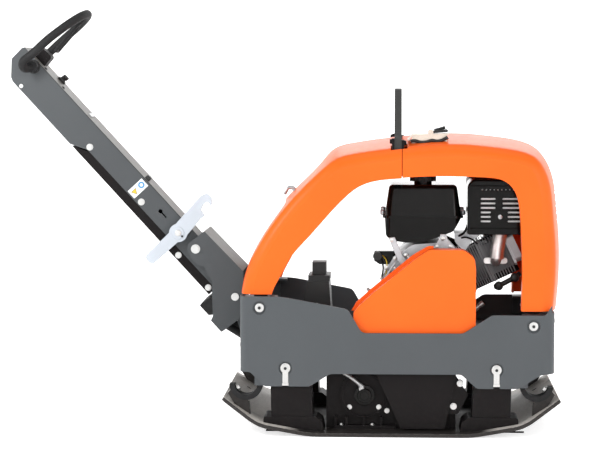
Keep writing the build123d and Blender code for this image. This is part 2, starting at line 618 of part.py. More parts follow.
def rear_hood(outer, shell):
    closing = [(60, 280), (-316, 280)]
    window = window_prism(REAR_WINDOW, closing, 0.0)
    wider = window_prism(REAR_WINDOW, closing, HOOD_WALL)
    hood = (shell - window) + window_rim(outer, window, wider)
    hood = hood - block(-450, 450, -300, 300, 200, REAR_HOOD_BASE)
    hood = hood - block(HOOD_SPLIT - HOOD_GAP / 2, 500, -300, 300, 200, 900)
    roof_end = Plane(origin=(-290, 0, 615), x_dir=(0, 1, 0), z_dir=(0.77, 0, -0.64))
    gap = roof_end * outline([(-204, -420), (204, -420), (204, 0, 45), (-204, 0, 45)])
    opening = extrude(gap, amount=150, dir=(0.77, 0, -0.64)) + extrude(gap, amount=60, dir=(-0.77, 0, 0.64))
    return (hood - opening - clamp_notches()).solids().sort_by(SortBy.VOLUME)[-1]


def front_hood(outer, shell):
    closing = [(342, 280), (0, 280)]
    window = window_prism(FRONT_WINDOW, closing, 0.0)
    wider = window_prism(FRONT_WINDOW, closing, HOOD_WALL)
    hood = (shell - window) + window_rim(outer, window, wider)
    hood = hood - block(-450, 480, -300, 300, 200, FRONT_HOOD_BASE)
    hood = hood - block(-500, HOOD_SPLIT + HOOD_GAP / 2, -300, 300, 200, 900)
    low, rows, pitch, tall = 556.0, 5, 18.0, 11.0
    for row in range(rows):
        z = low + row * pitch
        slot = front_prism([(-150, z, 5), (150, z, 5), (150, z + tall, 5), (-150, z + tall, 5)], 380, 480)
        hood = hood - slot
    for y in (-80, 80):
        hood = hood + block(HINGE_X - 2, HINGE_X + 6, y - 15, y + 15, HINGE_Z, FRONT_HOOD_BASE + 4)
        hood = hood + rod_y(HINGE_X, HINGE_Z, 5.5, y - 15, y + 15) - rod_y(HINGE_X, HINGE_Z, 3.5 + RUN, y - 20, y + 20)
    return (hood - clamp_notches()).solids().sort_by(SortBy.VOLUME)[-1]


ARCH_POINTS = [(-346, 370), (-343, 400), (-312, 450), (-262, 516), (-206, 580), (-156, 632), (-108, 672),
               (-56, 694), (17, 704)]
ARCH_R = 12.0
EYE_X = 17.0                # the lifting frame stands in this cross plane
EYE_HALF = 9.5
CLAMP_Y = (204.0, 243.0)    # from and to, on both sides
JAW = 6.5


def clamp_notches():
    """Gaps in the hood's crest that the lifting frame's clamps come up through."""
    near = block(EYE_X - 19, EYE_X + 25, -CLAMP_Y[1] - 3, -CLAMP_Y[0] + 3, 715, 820)
    return near + mirrored(near)


def lifting_arch():
    """Steel hoop inside the rear hood's arms, with the clamps of the lifting frame on top."""
    leg_y = 238.0
    route = [(x, -leg_y, z) for x, z in ARCH_POINTS]
    leg, _, _ = tube_along(route, ARCH_R)
    foot = block(-362, -326, -251, -226, 367, 374)
    cross = rod((EYE_X, -leg_y, 704), (EYE_X, leg_y, 704), ARCH_R)
    pieces = [leg, foot]
    for end, top in ((-1, 783), (1, 779)):
        inner, face = EYE_X + end * EYE_HALF, EYE_X + end * (EYE_HALF + JAW)
        pieces.append(block(min(inner, face), max(inner, face), -CLAMP_Y[1], -CLAMP_Y[0], 700, top))
        pieces.append(hex_head((face, -sum(CLAMP_Y) / 2, top - 8), (end, 0, 0), 6, 6))
    half = joined(pieces)
    return joined([half, mirrored(half), cross])


def lifting_frame():
    """Flat-bar frame held between the clamps; the crane hook goes under its top."""
    outer = [(-238, 724), (-238, 796, 26), (-62, 913, 42), (62, 913, 42), (238, 796, 26), (238, 724)]
    inner = [(-211, 700), (-211, 786, 14), (-52, 889, 24), (52, 889, 24), (211, 786, 14), (211, 700)]
    frame = front_prism(outer, EYE_X - EYE_HALF, EYE_X + EYE_HALF)
    return frame - front_prism(inner, EYE_X - EYE_HALF - 1, EYE_X + EYE_HALF + 1)


def catch_loop(hood):
    """Wire staple on the roof's rear edge that the transport latch hooks."""
    wire = 3.5
    points = [(-258, -52, 634), (-270, -52, 646), (-281, -52, 645), (-288, -52, 630), (-288, -100, 630),
              (-281, -100, 645), (-270, -100, 646), (-258, -100, 634)]
    tube, _, _ = tube_along(points, wire, 0.35)
    return tube - hood


LATCH_Y = -170.0            # middle of the hood latch
LATCH_PIN_X, LATCH_PIN_Z = 104.0, 800.0


def latch_plate(hood):
    """Pressed plate with two bolts that carries the hood latch."""
    near, far = LATCH_Y - 35, LATCH_Y + 35
    plate = side_prism([(44, 776), (56, 790), (150, 792), (150, 795), (54, 793), (42, 779)], near, far)
    foot = block(54, 146, near + 4, near + 8, 760, 792) + block(54, 146, far - 8, far - 4, 765, 792)
    bolts = [hex_head((x, near + 4, z), (0, -1, 0), 5.5, 5) for x, z in ((60, 778), (113, 781))]
    ear = [(97, 792), (97, 804, 4), (110, 804, 4), (110, 792)]
    ears = [side_prism(ear, LATCH_Y - 22, LATCH_Y - 17.4), side_prism(ear, LATCH_Y + 17.4, LATCH_Y + 22)]
    pin = rod_y(LATCH_PIN_X, LATCH_PIN_Z, 2, LATCH_Y - 20, LATCH_Y + 20)
    return joined([plate, foot, pin] + ears + bolts) - hood


def hood_latch():
    """Lever of the hood latch, hinged at its rear end."""
    near, far = LATCH_Y - 17, LATCH_Y + 17
    lever = side_prism([(104, 796), (112, 795.6), (148, 798.5, 2), (150, 804, 3), (146, 806, 3), (112, 802, 3),
                        (104, 804, 3)], near, far)
    barrel = rod_y(LATCH_PIN_X, LATCH_PIN_Z, 4, near, far)
    return lever + barrel - rod_y(LATCH_PIN_X, LATCH_PIN_Z, 2 + RUN, near - 8, far + 8)


# ---- Engine ----
def bore_plane(distance):
    """Plane across the tilted cylinder, this far from the crankshaft; its x is world Y."""
    tilt = math.radians(BORE_TILT)
    axis = Vector(math.cos(tilt), 0, math.sin(tilt))
    return Plane(origin=Vector(CRANK_X, 0, CRANK_Z) + axis * distance, x_dir=(0, 1, 0), z_dir=axis)


def bore_box(half_y, up, down, start, end, radius=4.0):
    """Block square to the cylinder, with rounded long edges."""
    face = bore_plane(start) * outline(rounded_box(-half_y, half_y, -down, up, radius))
    return extrude(face, amount=end - start)


def crankcase():
    near, far = -112.0, 110.0
    shape = [(-5, DECK_TOP + 10), (-25, 300, 12), (-25, 408, 16), (8, 462, 16), (60, 494, 20), (150, 500, 14),
             (174.5, 474), (225, 365, 10), (204, 310, 14), (196, DECK_TOP + 10)]
    case = side_prism(shape, near, far) - rod_y(CRANK_X, CRANK_Z, 74, near - 1, far - 14)
    case = case - rod_y(CRANK_X, CRANK_Z, 17 + RUN, -150, 150)
    bore = extrude(bore_plane(40) * Circle(44.0), amount=80)
    feet = block(-34, 232, -84, 84, DECK_TOP, DECK_TOP + 10)
    cover = [(-18, 290, 20), (-18, 404, 30), (30, 458, 50), (150, 470, 40), (196, 400, 30), (190, 300, 20)]
    lid = side_prism(cover, near - 10, near) - rod_y(CRANK_X, CRANK_Z, 17 + RUN, -150, -100)
    boss = ring_y(CRANK_X, CRANK_Z, 34, 17 + RUN, near - 22, near - 10)
    return [joined([case - bore, feet]), lid + boss]


def cylinder():
    """Barrel with square cooling fins across the bore axis."""
    start, end, pitch, fin = 97.0, 154.0, 6.4, 2.4
    barrel = extrude(bore_plane(95) * Circle(50), amount=end - 95)
    fins = [bore_box(63, 60, 60, start + pitch * n, start + pitch * n + fin) for n in range(9)]
    flange = bore_box(60, 60, 60, end - 6, end)
    return joined([barrel, flange] + fins) - extrude(bore_plane(90) * Circle(44.0), amount=80)


def cylinder_head():
    start, end, pitch, fin = 155.0, 226.0, 7.6, 2.6
    core = bore_box(46, 44, 44, start, end)
    base = bore_box(62, 61, 61, start, start + 7)
    fins = [bore_box(60, 60, 60, start + 9 + pitch * n, start + 9 + pitch * n + fin) for n in range(8)]
    return joined([core, base] + fins)


def valve_cover():
    base = bore_box(50, 46, 46, 226, 232, 8)
    dome = bore_box(45, 41, 41, 232, 252, 12)
    return base + dome


def fan_housing():
    """Blower housing over the flywheel, its starter cover, and the shroud over the cylinder."""
    near, far, skin = 112.0, 170.0, 3.0
    drum = rod_y(CRANK_X, CRANK_Z, 128, near, far) - rod_y(CRANK_X, CRANK_Z, 128 - skin, near - 1, far - skin)
    back = ring_y(CRANK_X, CRANK_Z, 125, 60, near, near + 3)
    cover = rod_y(CRANK_X, CRANK_Z, 86, far, far + 24) - rod_y(CRANK_X, CRANK_Z, 83, far - 4, far + 21)
    housing = joined([drum, back, cover])
    for n in range(12):
        slot = Pos(CRANK_X, far + 22, CRANK_Z) * Rot(0, n * 30, 0) * Pos(52, 0, 0) * Box(44, 12, 9)
        housing = housing - slot
    return [housing]


def cylinder_shroud():
    """Bent sheet that leads the cooling air over the cylinder."""
    plate = side_prism([(172, 498), (170, 521, 4), (250, 521, 4), (222, 505, 30), (206, 484, 20), (198, 470)], -66, -63)
    roof = side_prism([(172, 518), (170, 521), (250, 521), (246, 518)], -66, 60)
    return plate + roof


def fuel_tank():
    low, seam, high = 500.0, 566.0, 655.0
    upper = extrude(Plane.XY.offset(seam + 6) * outline(rounded_box(-18, 187, -132, 132, 26)),
                    amount=high - seam - 6, taper=8)
    upper = fillet(upper.faces().sort_by(Axis.Z)[-1].edges(), 12)
    rim = plan_prism(rounded_box(-24, 193, -138, 138, 30), seam, seam + 6)
    under = [(-18, seam), (-15, 516, 14), (12, low + 4, 20), (40, low, 30), (86, low, 40), (136, 519, 20),
             (166, 530, 24), (187, seam)]
    lower = side_prism(under, -132, 108) & plan_prism(rounded_box(-18, 187, -132, 132, 26), low - 5, seam)
    neck = Pos(CAP_X, CAP_Y, high + 3) * Cylinder(24, 8)
    return joined([upper, rim, lower, neck])


CAP_X, CAP_Y, CAP_Z = 85.0, -40.0, 662.2


def fuel_cap():
    """Round cap with finger scallops on its rim."""
    cap = Pos(CAP_X, CAP_Y, CAP_Z + 10) * Cylinder(36, 20)
    cap = fillet(cap.edges().sort_by(Axis.Z)[-1], 4)
    for n in range(12):
        turn = math.radians(30 * n)
        x, y = CAP_X + 38 * math.cos(turn), CAP_Y + 38 * math.sin(turn)
        cap = cap - Pos(x, y, CAP_Z + 10) * Cylinder(4.5, 30)
    return cap


def air_cleaner():
    body = side_prism([(208, 532, 10), (345, 532, 10), (345, 672, 34), (222, 686, 24), (208, 660, 14)], 24, 168)
    body = fillet(body.faces().sort_by(Axis.Y)[-1].edges(), 8)
    return body


def carburettor():
    throat = block(250, 292, 64, 104, 444, 500)
    neck = block(254, 288, 68, 100, 500, 532)
    bowl = Pos(271, 84, 430) * Cylinder(17, 28)
    return joined([throat, neck, bowl])


MUFFLER = (216.0, 346.0, -138.0, -22.0, 531.0, 662.0)


def muffler():
    x_low, x_high, y_low, y_high, z_low, z_high = MUFFLER
    return side_prism([(x_low, z_low, 14), (x_high, z_low, 14), (x_high, z_high, 26), (x_low, z_high, 26)],
                      y_low, y_high) - exhaust_tube(EXHAUST_R + 0.1)


def muffler_guard():
    """Pressed cover round the muffler, with a row of small holes and rows of slots."""
    x_low, x_high, y_low, y_high, z_low, z_high = 203.0, 356.0, -152.0, -12.0, 522.0, 672.0
    skin, clear = 2.0, 2.0
    cover = side_prism([(x_low, z_low, 6), (x_high, z_low, 6), (x_high, z_high, 34), (x_low, z_high, 24)],
                       y_low, y_high)
    cover = fillet(cover.faces().sort_by(Axis.Y)[0].edges(), 6)
    inside = side_prism([(x_low + skin, z_low - 5), (x_high - skin, z_low - 5), (x_high - skin, z_high - skin, 32),
                         (x_low + skin, z_high - skin, 22)], y_low + skin, y_high + clear)
    cover = cover - inside
    face_low, face_high = y_low - 3, y_low + 8
    for row in range(6):
        z = 619.5 - 12.0 * row
        left_end, right_start = (277, 296) if row < 3 else (265, 310)
        for x_start, x_end in ((238, left_end), (right_start, 344)):
            cover = cover - side_prism([(x_start, z - 2.4, 2.2), (x_end, z - 2.4, 2.2), (x_end, z + 2.4, 2.2),
                                        (x_start, z + 2.4, 2.2)], face_low, face_high)
    for n in range(9):
        cover = cover - rod_y(242 + n * 10.4, 644, 1.9, face_low, face_high)
    boss = rod_y(289.7, 571.5, 17, y_low - 3, y_low + skin)
    return cover + boss


EXHAUST_R = 14.2


def exhaust_tube(radius):
    points = [(282, -63, 447), (282, -99, 448), (285, -100, 488), (292, -98, 546)]
    tube, _, _ = tube_along(points, radius)
    return tube


def exhaust_pipe():
    flange = front_flange(282, 447)
    return exhaust_tube(EXHAUST_R) + flange


def front_flange(x, z):
    plate = side_prism([(x - 32, z - 8, 7), (x + 32, z - 8, 7), (x + 32, z + 8, 7), (x - 32, z + 8, 7)], -70, -63)
    bolts = [hex_head((x + lean, -70, z), (0, -1, 0), 6, 6) for lean in (-24, 24)]
    return joined([plate] + bolts)


def crankshaft():
    """Shaft with two webs and an offset crank pin."""
    shaft = rod_y(CRANK_X, CRANK_Z, 17, -134, -46) + rod_y(CRANK_X, CRANK_Z, 17, 46, 119)
    shaft = shaft + rod_y(CRANK_X, CRANK_Z, 12.5, -242, -134) + rod_y(CRANK_X, CRANK_Z, 12.5, 119, 160)
    webs = [rod_y(CRANK_X, CRANK_Z, 48, y, y + 18) for y in (-46, 28)]
    pin = rod_y(CRANK_X - 29, CRANK_Z - 13, 16, -30, 30)
    return joined([shaft, pin] + webs)


def clutch_pulley():
    """Centrifugal clutch drum with the belt groove on its outer end."""
    drum = ring_y(CRANK_X, CRANK_Z, 58, 12.51, BELT_Y + 12, -186)
    return grooved_pulley(CRANK_X, CRANK_Z, CLUTCH_R, 12.51) + drum


def flywheel():
    wheel = ring_y(CRANK_X, CRANK_Z, 96, 12.51, 121, 133)
    blades = []
    for n in range(16):
        blade = Pos(CRANK_X, 0, CRANK_Z) * Rot(0, n * 22.5, 0) * Pos(78, 145, 0) * Box(34, 24, 3)
        blades.append(blade)
    return joined([wheel] + blades)


def recoil_grip():
    """T handle of the pull starter, on a short stub of its cord."""
    x, z = CRANK_X - 40, CRANK_Z + 60
    bar = rod((x - 34, 211, z), (x + 34, 211, z), 9)
    stem = rod_y(x, z, 5, 194.4, 211)
    return bar + stem


SWITCH_PLACE = (-38.0, 462.0)


def stop_switch():
    """Rotary stop switch knob on the crankcase's rear side."""
    x, z = SWITCH_PLACE
    knob = rod_y(x, z, 11.5, -118, -98) + block(x - 3, x + 3, -124, -118, z - 10, z + 10)
    return knob + rod_y(x, z, 4, -98, -86)


def switch_box():
    """Small box on the crankcase that the stop switch turns in."""
    x, z = SWITCH_PLACE
    box = side_prism([(x - 9, z - 14, 4), (x + 6, z - 24, 4), (x + 50, z - 24), (x + 50, z + 12), (x - 9, z + 12, 4)],
                     -92, -60)
    return box - rod_y(x, z, 4 + RUN, -95, -80) - joined(crankcase())


# ---- Drawbar ----
def bar_point(along, across):
    """World (x, z) of a point in the bar's own directions."""
    angle = math.radians(BAR_ANGLE)
    return (PIVOT_X + along * math.cos(angle) + across * math.sin(angle),
            PIVOT_Z + along * math.sin(angle) - across * math.cos(angle))


def bar_prism(corners, y_low, y_high):
    """Solid whose outline is given along and across the bar."""
    world = [(*bar_point(along, across), *rest) for along, across, *rest in corners]
    return side_prism(world, y_low, y_high)


def bar_rod(along, across, radius, y_low, y_high):
    x, z = bar_point(along, across)
    return rod_y(x, z, radius, y_low, y_high)


CHEEK_OUTLINE = [(-508, 527, 3), (-553.3, 490.2, 4), (-553.4, 474, 8), (-545, 453.5, 8), (-527, 435, 6),
                 (-508, 431, 6), (-503.5, 414, 6), (-487, 391, 6), (-487, 354), (-485, 295), (-490.7, 283, 3),
                 (-461.6, 251.3, 3), (-409, 290.5, 8), (-402, 300), (-402, 418, 6)]
BRACKET_BOLT = (-531.5, 478.3)


def drawbar_bracket():
    """Folded channel: two cheeks, the web above them, and cross pieces at both ends."""
    cheek = side_prism(CHEEK_OUTLINE, -BRACKET_HALF_Y, -BRACKET_HALF_Y + CHEEK)
    inner = BRACKET_HALF_Y - CHEEK
    web = side_prism([(-402.5, 418), (-508, 526.5), (-512.3, 522.3), (-406.8, 413.8)], -inner, inner)
    tie = side_prism([(-461.6, 252), (-436, 271), (-439.6, 275.8), (-465, 256.8)], -inner, inner)
    pads = [rod_y(x, z, 15, -inner, -BAR_HALF_Y) for x, z in (BRACKET_BOLT, bar_point(80, 4))]
    half = joined([cheek] + pads)
    return joined([half, mirrored(half), web, tie]) - rod_y(PIVOT_X, PIVOT_Z, PIN_R, -110, 110)


def drawbar_tube():
    """Box-section bar; its head widens downwards and holds the control shaft."""
    head = 612.0
    shape = [(50, BAR_MID), (head - 46, BAR_MID), (head, BAR_LOW), (842, BAR_LOW, 6), (854, -50), (890, -14, 4),
             (BAR_LENGTH, 27), (BAR_LENGTH - 4, BAR_TOP), (50, BAR_TOP)]
    wall = 4.0
    tube = bar_prism(shape, -BAR_HALF_Y, BAR_HALF_Y)
    inside = [(40, BAR_MID + wall), (head - 40, BAR_MID + wall), (head + 6, BAR_LOW - 5), (838, BAR_LOW - 5),
              (852, -45), (BAR_LENGTH - wall, -10), (BAR_LENGTH - wall, BAR_TOP - wall), (40, BAR_TOP - wall)]
    tube = tube - bar_prism(inside, -BAR_HALF_Y + wall, BAR_HALF_Y - wall)
    ring_s, ring_w = RING_ON_BAR
    tube = tube - bar_rod(ring_s, ring_w, 8 + RUN, -80, 80) - bar_rod(818, -46, 5.5, -80, 80)
    keyhole = bar_rod(309, 3, 6, -80, -50) + bar_prism([(285, 1), (309, 1), (309, 5), (285, 5)], -80, -50)
    return tube - keyhole




def drawbar_underplate():
    """Channel that stiffens the bar's lower side."""
    gap = 0.2
    shape = [(52, BAR_LOW), (604, BAR_LOW), (558, BAR_MID - gap), (52, BAR_MID - gap)]
    channel = bar_prism(shape, -58, 58)
    return channel - bar_prism([(40, BAR_LOW + 4), (590, BAR_LOW + 4), (560, BAR_MID + 5), (40, BAR_MID + 5)], -54, 54)


def rubber_stops():
    """Cross block under the bar, and the two bump stops that meet the frame's rear wall."""
    inner = BRACKET_HALF_Y - CHEEK
    cross = side_prism([(-522, 324, 3), (-498, 343, 3), (-470, 343), (-470, 300), (-497, 297, 3)], -inner, inner)
    above_tie = side_prism([(-461.6, 252), (-436, 271), (-436, 320), (-490, 320)], -70, 70)
    wall = block(FRAME_REAR - 0.5, -350, -70, 70, 180, 290)
    bumps = [rod((-452, y, 266), (-390, y, 227.5), 11) - above_tie - wall for y in (-47, 47)]
    return [cross] + bumps


def drawbar_bolts():
    """Pivot pin with its heads, and the bolts on the bar's sides."""
    inner = BRACKET_HALF_Y
    pin = rod_y(PIVOT_X, PIVOT_Z, PIN_R, -inner, inner)
    heads = [rod_y(PIVOT_X, PIVOT_Z, 10.5, -inner - 6, -inner), rod_y(PIVOT_X, PIVOT_Z, 10.5, inner, inner + 6)]
    pieces = [joined([pin] + heads)]
    x, z = BRACKET_BOLT
    pieces.append(hex_head((x, -inner, z), (0, -1, 0), 10, 6))
    for along, across in ((568.4, -20.5), (363.2, -18.3)):
        x, z = bar_point(along, across)
        pieces.append(hex_head((x, -BAR_HALF_Y, z), (0, -1, 0), 7.5, 4.5))
    for along in (187.8, 67.3):
        x, z = bar_point(along, -43)
        pieces.append(hex_head((x, -58, z), (0, -1, 0), 7, 4.5))
    return pieces + [mirrored(piece) for piece in pieces[1:]]


def control_hub():
    """Block on the bar's head that the control ring works."""
    return bar_prism([(818, BAR_TOP, 2), (862, BAR_TOP, 2), (862, 64, 8), (822, 66, 8)], -25, 25)


def hand_pump():
    """Hydraulic pump inside the bar's head."""
    start, end = bar_point(650, 0), bar_point(800, 0)
    body = rod((start[0], 0, start[1]), (end[0], 0, end[1]), 22)
    return body


def ring_curve_point(turn):
    """Point on the round upper half of the control ring; turn runs from -90 to 90 degrees."""
    angle = math.radians(turn)
    along = RING_REACH * math.cos(angle)
    return (RING_MID[0] + along * RING_SLOPE[0], RING_HALF_Y * math.sin(angle), RING_MID[1] + along * RING_SLOPE[1])


RING_MID = (-928.0, 1045.0)
RING_REACH = 119.0
RING_SLOPE = (0.785, 0.62)


def control_ring():
    """Rubber-covered loop on a cross shaft, with the steel bail inside it."""
    x, z = bar_point(*RING_ON_BAR)
    side = [(x - 4, -84, z - 4), (x - 20, -106, z - 6), (x - 22, -RING_HALF_Y, z + 12), (-966, -RING_HALF_Y, 1009)]
    curve = [ring_curve_point(turn) for turn in (-90, -58, -30)]
    half = side + curve
    other = [(px, -py, pz) for px, py, pz in reversed(half)]
    middle = [ring_curve_point(0)]
    loop, length, _ = tube_along(half + middle + other, RING_TUBE_R)
    print("ring length", round(length), "volume", round(loop.volume),
          "expected", round(math.pi * RING_TUBE_R ** 2 * length))
    bosses = [rod_y(x, z, 15, -92, -BAR_HALF_Y - GAP), rod_y(x, z, 15, BAR_HALF_Y + GAP, 92)]
    shaft = rod_y(x, z, 8, -BAR_HALF_Y - 5, BAR_HALF_Y + 5)
    bail_side = [(-923, -26, 1015), (-886, -26, 1057), (-868, -20, 1078), (-860, -8, 1088)]
    bail_points = bail_side + [(px, -py, pz) for px, py, pz in reversed(bail_side)]
    bail, _, _ = tube_along(bail_points, 4.5)
    strut = rod((-861, 0, 1087), (-836, 0, 1116), 5)
    cross = rod((-923, -26, 1015), (-923, 26, 1015), 4.5)
    return joined([loop, shaft, bail, strut, cross] + bosses)


def throttle_lever():
    """Small lever on the bar's top face."""
    angle = math.radians(BAR_ANGLE)
    out = (math.sin(angle), 0, -math.cos(angle))
    x, z = bar_point(762, BAR_TOP + GAP)
    base = extrude(Plane(origin=(x, 22, z), z_dir=out) * Circle(13), amount=6)
    tab = bar_prism([(753, 36), (771, 36), (768, 56, 3), (756, 52, 3)], 18, 26)
    return base + tab


def transport_latch():
    """Two-armed latch lever with a hooked mouth, on the bar's near side."""
    x, z = LATCH_HUB
    near, far = -84.0, -66.0
    lower = side_prism([(x - 72, z - 88, 12), (x - 93, z - 66, 12), (x - 15, z + 10), (x + 10, z - 15)], near, far)
    upper = side_prism([(x - 16, z + 14), (x + 62, z + 101, 8), (x + 78, z + 108, 5), (x + 91, z + 96, 4),
                        (x + 92, z + 77, 2), (x + 87, z + 76, 2), (x + 82, z + 88, 6), (x + 68, z + 78, 6),
                        (x + 62, z + 62, 5), (x + 72, z + 46, 3), (x + 60, z + 38, 6), (x + 16, z - 16)], near, far)
    hub = rod_y(x, z, 25, near, far) + rod_y(x, z, 12, far, -BAR_HALF_Y - GAP)
    return joined([lower, upper, hub])


# ---- Build ----
os.makedirs("parts", exist_ok=True)
save("base_plate", base_plate())
save("exciter_housing", exciter_housing())
save("exciter_covers", exciter_cover(), exciter_end_cover())
save("exciter_bearings", *exciter_bearings())
save("buffer_brackets", *buffer_brackets())
save("lower_belt_guard", *lower_belt_guard())
save("base_bolts", *base_bolts())
save("drive_shaft", eccentric_shaft(SHAFT_X, BELT_Y - 14))
save("driven_shaft", eccentric_shaft(-SHAFT_X, HOUSING_NEAR + 3))
gear_start = -GEAR_WIDTH / 2
save("drive_gear", Pos(SHAFT_X, 0, SHAFT_Z) * involute_gear(GEAR_TEETH, GEAR_MODULE, GEAR_WIDTH, gear_start, math.pi))
save("driven_gear", Pos(-SHAFT_X, 0, SHAFT_Z)
     * involute_gear(GEAR_TEETH, GEAR_MODULE, GEAR_WIDTH, gear_start, math.pi / GEAR_TEETH))
save("exciter_pulley", grooved_pulley(SHAFT_X, SHAFT_Z, EXCITER_PULLEY_R, JOURNAL_R + 0.01))
save("right_side_panel", right_side_panel())
save("left_side_panel", mirrored(right_side_panel()))
save("rear_cross_panel", rear_cross_panel())
save("front_cross_panel", front_cross_panel())
save("engine_deck", engine_deck())
save("drawbar_lug", drawbar_lug())
save("rubber_buffers", *rubber_buffers())
save("frame_bolts", *frame_bolts())
save("retaining_straps", *retaining_straps())
save("belt_guard", belt_guard())
save("v_belt", belt_loop())
save("hydraulic_reservoir", hydraulic_reservoir())
save("hydraulic_hose", *hydraulic_hose())
hood_outer, hood_skin = hood_shell()
save("rear_hood", rear_hood(hood_outer, hood_skin))
save("front_hood", front_hood(hood_outer, hood_skin))
save("lifting_arch", lifting_arch())
save("lifting_frame", lifting_frame())
save("catch_loop", catch_loop(hood_outer))
save("latch_plate", latch_plate(hood_outer))
save("hood_latch", hood_latch())
save("crankcase", *crankcase())
save("cylinder", cylinder())
save("cylinder_head", cylinder_head())
save("valve_cover", valve_cover())
save("fan_housing", *fan_housing(), switch_box())
save("cylinder_shroud", cylinder_shroud())
save("fuel_tank", fuel_tank())
save("fuel_cap", fuel_cap())
save("air_cleaner", air_cleaner())
save("carburettor", carburettor())
save("muffler", muffler())
save("muffler_guard", muffler_guard())
save("exhaust_pipe", exhaust_pipe())
save("crankshaft", crankshaft())
save("clutch_pulley", clutch_pulley())
save("flywheel", flywheel())
save("recoil_grip", recoil_grip())
save("stop_switch", stop_switch())
save("drawbar_bracket", drawbar_bracket())
save("drawbar_tube", drawbar_tube())
save("drawbar_underplate", drawbar_underplate())
save("rubber_stops", *rubber_stops())
save("drawbar_bolts", *drawbar_bolts())
save("control_hub", control_hub())
save("hand_pump", hand_pump())
save("control_ring", control_ring())
save("throttle_lever", throttle_lever())
save("transport_latch", transport_latch())
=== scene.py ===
import json
import math

import bmesh
import bpy
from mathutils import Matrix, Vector


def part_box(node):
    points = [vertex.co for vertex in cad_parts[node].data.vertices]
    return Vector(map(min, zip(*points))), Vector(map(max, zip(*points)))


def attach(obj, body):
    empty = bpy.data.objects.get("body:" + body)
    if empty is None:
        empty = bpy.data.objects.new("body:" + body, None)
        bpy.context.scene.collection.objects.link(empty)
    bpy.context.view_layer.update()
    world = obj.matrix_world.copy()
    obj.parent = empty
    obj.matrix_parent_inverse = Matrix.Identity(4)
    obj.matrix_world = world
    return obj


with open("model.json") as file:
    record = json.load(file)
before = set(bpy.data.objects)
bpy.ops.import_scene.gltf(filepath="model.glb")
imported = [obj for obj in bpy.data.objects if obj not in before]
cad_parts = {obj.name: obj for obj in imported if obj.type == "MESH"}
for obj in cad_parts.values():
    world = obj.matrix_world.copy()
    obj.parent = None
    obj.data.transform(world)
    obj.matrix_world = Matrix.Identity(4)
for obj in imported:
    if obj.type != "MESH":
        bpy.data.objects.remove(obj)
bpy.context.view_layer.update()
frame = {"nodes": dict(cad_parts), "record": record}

MM = 0.001
SHARP_ANGLE = math.radians(38)              # a fold steeper than this keeps a hard edge


# ---- Camera, light and floor ----
CAMERA_PLACE = (0.0175, -5.822, 0.9485)
CAMERA_DOWN, CAMERA_LEFT = 4.034, 2.652     # degrees
LENS_MM, SENSOR_MM = 127.27, 36.0
FLOOR_GAP = 0.0005                          # keeps the floor clear of the base plate's face


def make_camera():
    data = bpy.data.cameras.new("camera")
    data.lens, data.sensor_width = LENS_MM, SENSOR_MM
    data.clip_end = 100.0
    camera = bpy.data.objects.new("camera", data)
    camera.location = CAMERA_PLACE
    camera.rotation_euler = (math.radians(90 - CAMERA_DOWN), 0, math.radians(CAMERA_LEFT))
    bpy.context.scene.collection.objects.link(camera)
    bpy.context.scene.camera = camera


def area_light(name, place, aim, size, power):
    data = bpy.data.lights.new(name, "AREA")
    data.shape, data.size, data.size_y = "RECTANGLE", size[0], size[1]
    data.energy = power
    light = bpy.data.objects.new(name, data)
    light.location = place
    light.rotation_euler = (Vector(aim) - Vector(place)).to_track_quat("-Z", "Y").to_euler()
    bpy.context.scene.collection.objects.link(light)


def make_light():
    world = bpy.data.worlds.new("studio")
    bpy.context.scene.world = world
    world.use_nodes = True
    background = world.node_tree.nodes["Background"]
    background.inputs["Color"].default_value = (1.0, 1.0, 1.0, 1)
    background.inputs["Strength"].default_value = 0.44
    bpy.context.scene.view_settings.view_transform = "Standard"
    area_light("softbox_top", (0.2, -0.5, 3.6), (0, 0, 0.4), (2.6, 2.2), 20)
    area_light("softbox_left", (-1.6, -1.0, 1.4), (-1.0, 0, 1.05), (0.4, 0.6), 16)
    area_light("softbox_right", (3.0, -3.4, 1.7), (0.2, 0, 0.45), (1.2, 2.0), 24)
    area_light("softbox_front", (0.0, -5.0, 2.6), (0, 0, 0.4), (3.4, 1.2), 30)
    area_light("softbox_back", (0.5, 3.4, 2.6), (0, 0, 0.5), (3.0, 1.6), 30)


def floor_material():
    """Plain white, with a little light of its own so that no shade shows on the backdrop."""
    material = bpy.data.materials.new("floor")
    material.use_nodes = True
    shader = material.node_tree.nodes["Principled BSDF"]
    shader.inputs["Base Color"].default_value = (0.95, 0.95, 0.95, 1)
    shader.inputs["Roughness"].default_value = 0.9
    shader.inputs["Specular IOR Level"].default_value = 0.1
    shader.inputs["Emission Color"].default_value = (1.0, 1.0, 1.0, 1)
    shader.inputs["Emission Strength"].default_value = 0.62
    return material


def make_floor():
    """Plain floor that curves up into a backdrop on every side."""
    reach, bend, height = 16.0, 3.0, 9.0
    steps, turns = 12, 48
    mesh = bpy.data.meshes.new("floor")
    builder = bmesh.new()
    profile = [(reach - bend, 0.0)]
    for step in range(1, steps + 1):
        angle = math.pi / 2 * step / steps
        profile.append((reach - bend + bend * math.sin(angle), bend - bend * math.cos(angle)))
    profile.append((reach, height))
    angles = [2 * math.pi * n / turns for n in range(turns)]
    rings = []
    for radius, z in profile:
        rings.append([builder.verts.new((radius * math.cos(angle), radius * math.sin(angle), z))
                      for angle in angles])
    builder.faces.new(rings[0])
    for low, high in zip(rings, rings[1:]):
        for n in range(turns):
            builder.faces.new((low[n], low[(n + 1) % turns], high[(n + 1) % turns], high[n]))
    bmesh.ops.recalc_face_normals(builder, faces=builder.faces)
    builder.to_mesh(mesh)
    builder.free()
    floor = bpy.data.objects.new("floor", mesh)
    floor.location.z = -FLOOR_GAP
    bpy.context.scene.collection.objects.link(floor)
    mesh.materials.append(floor_material())


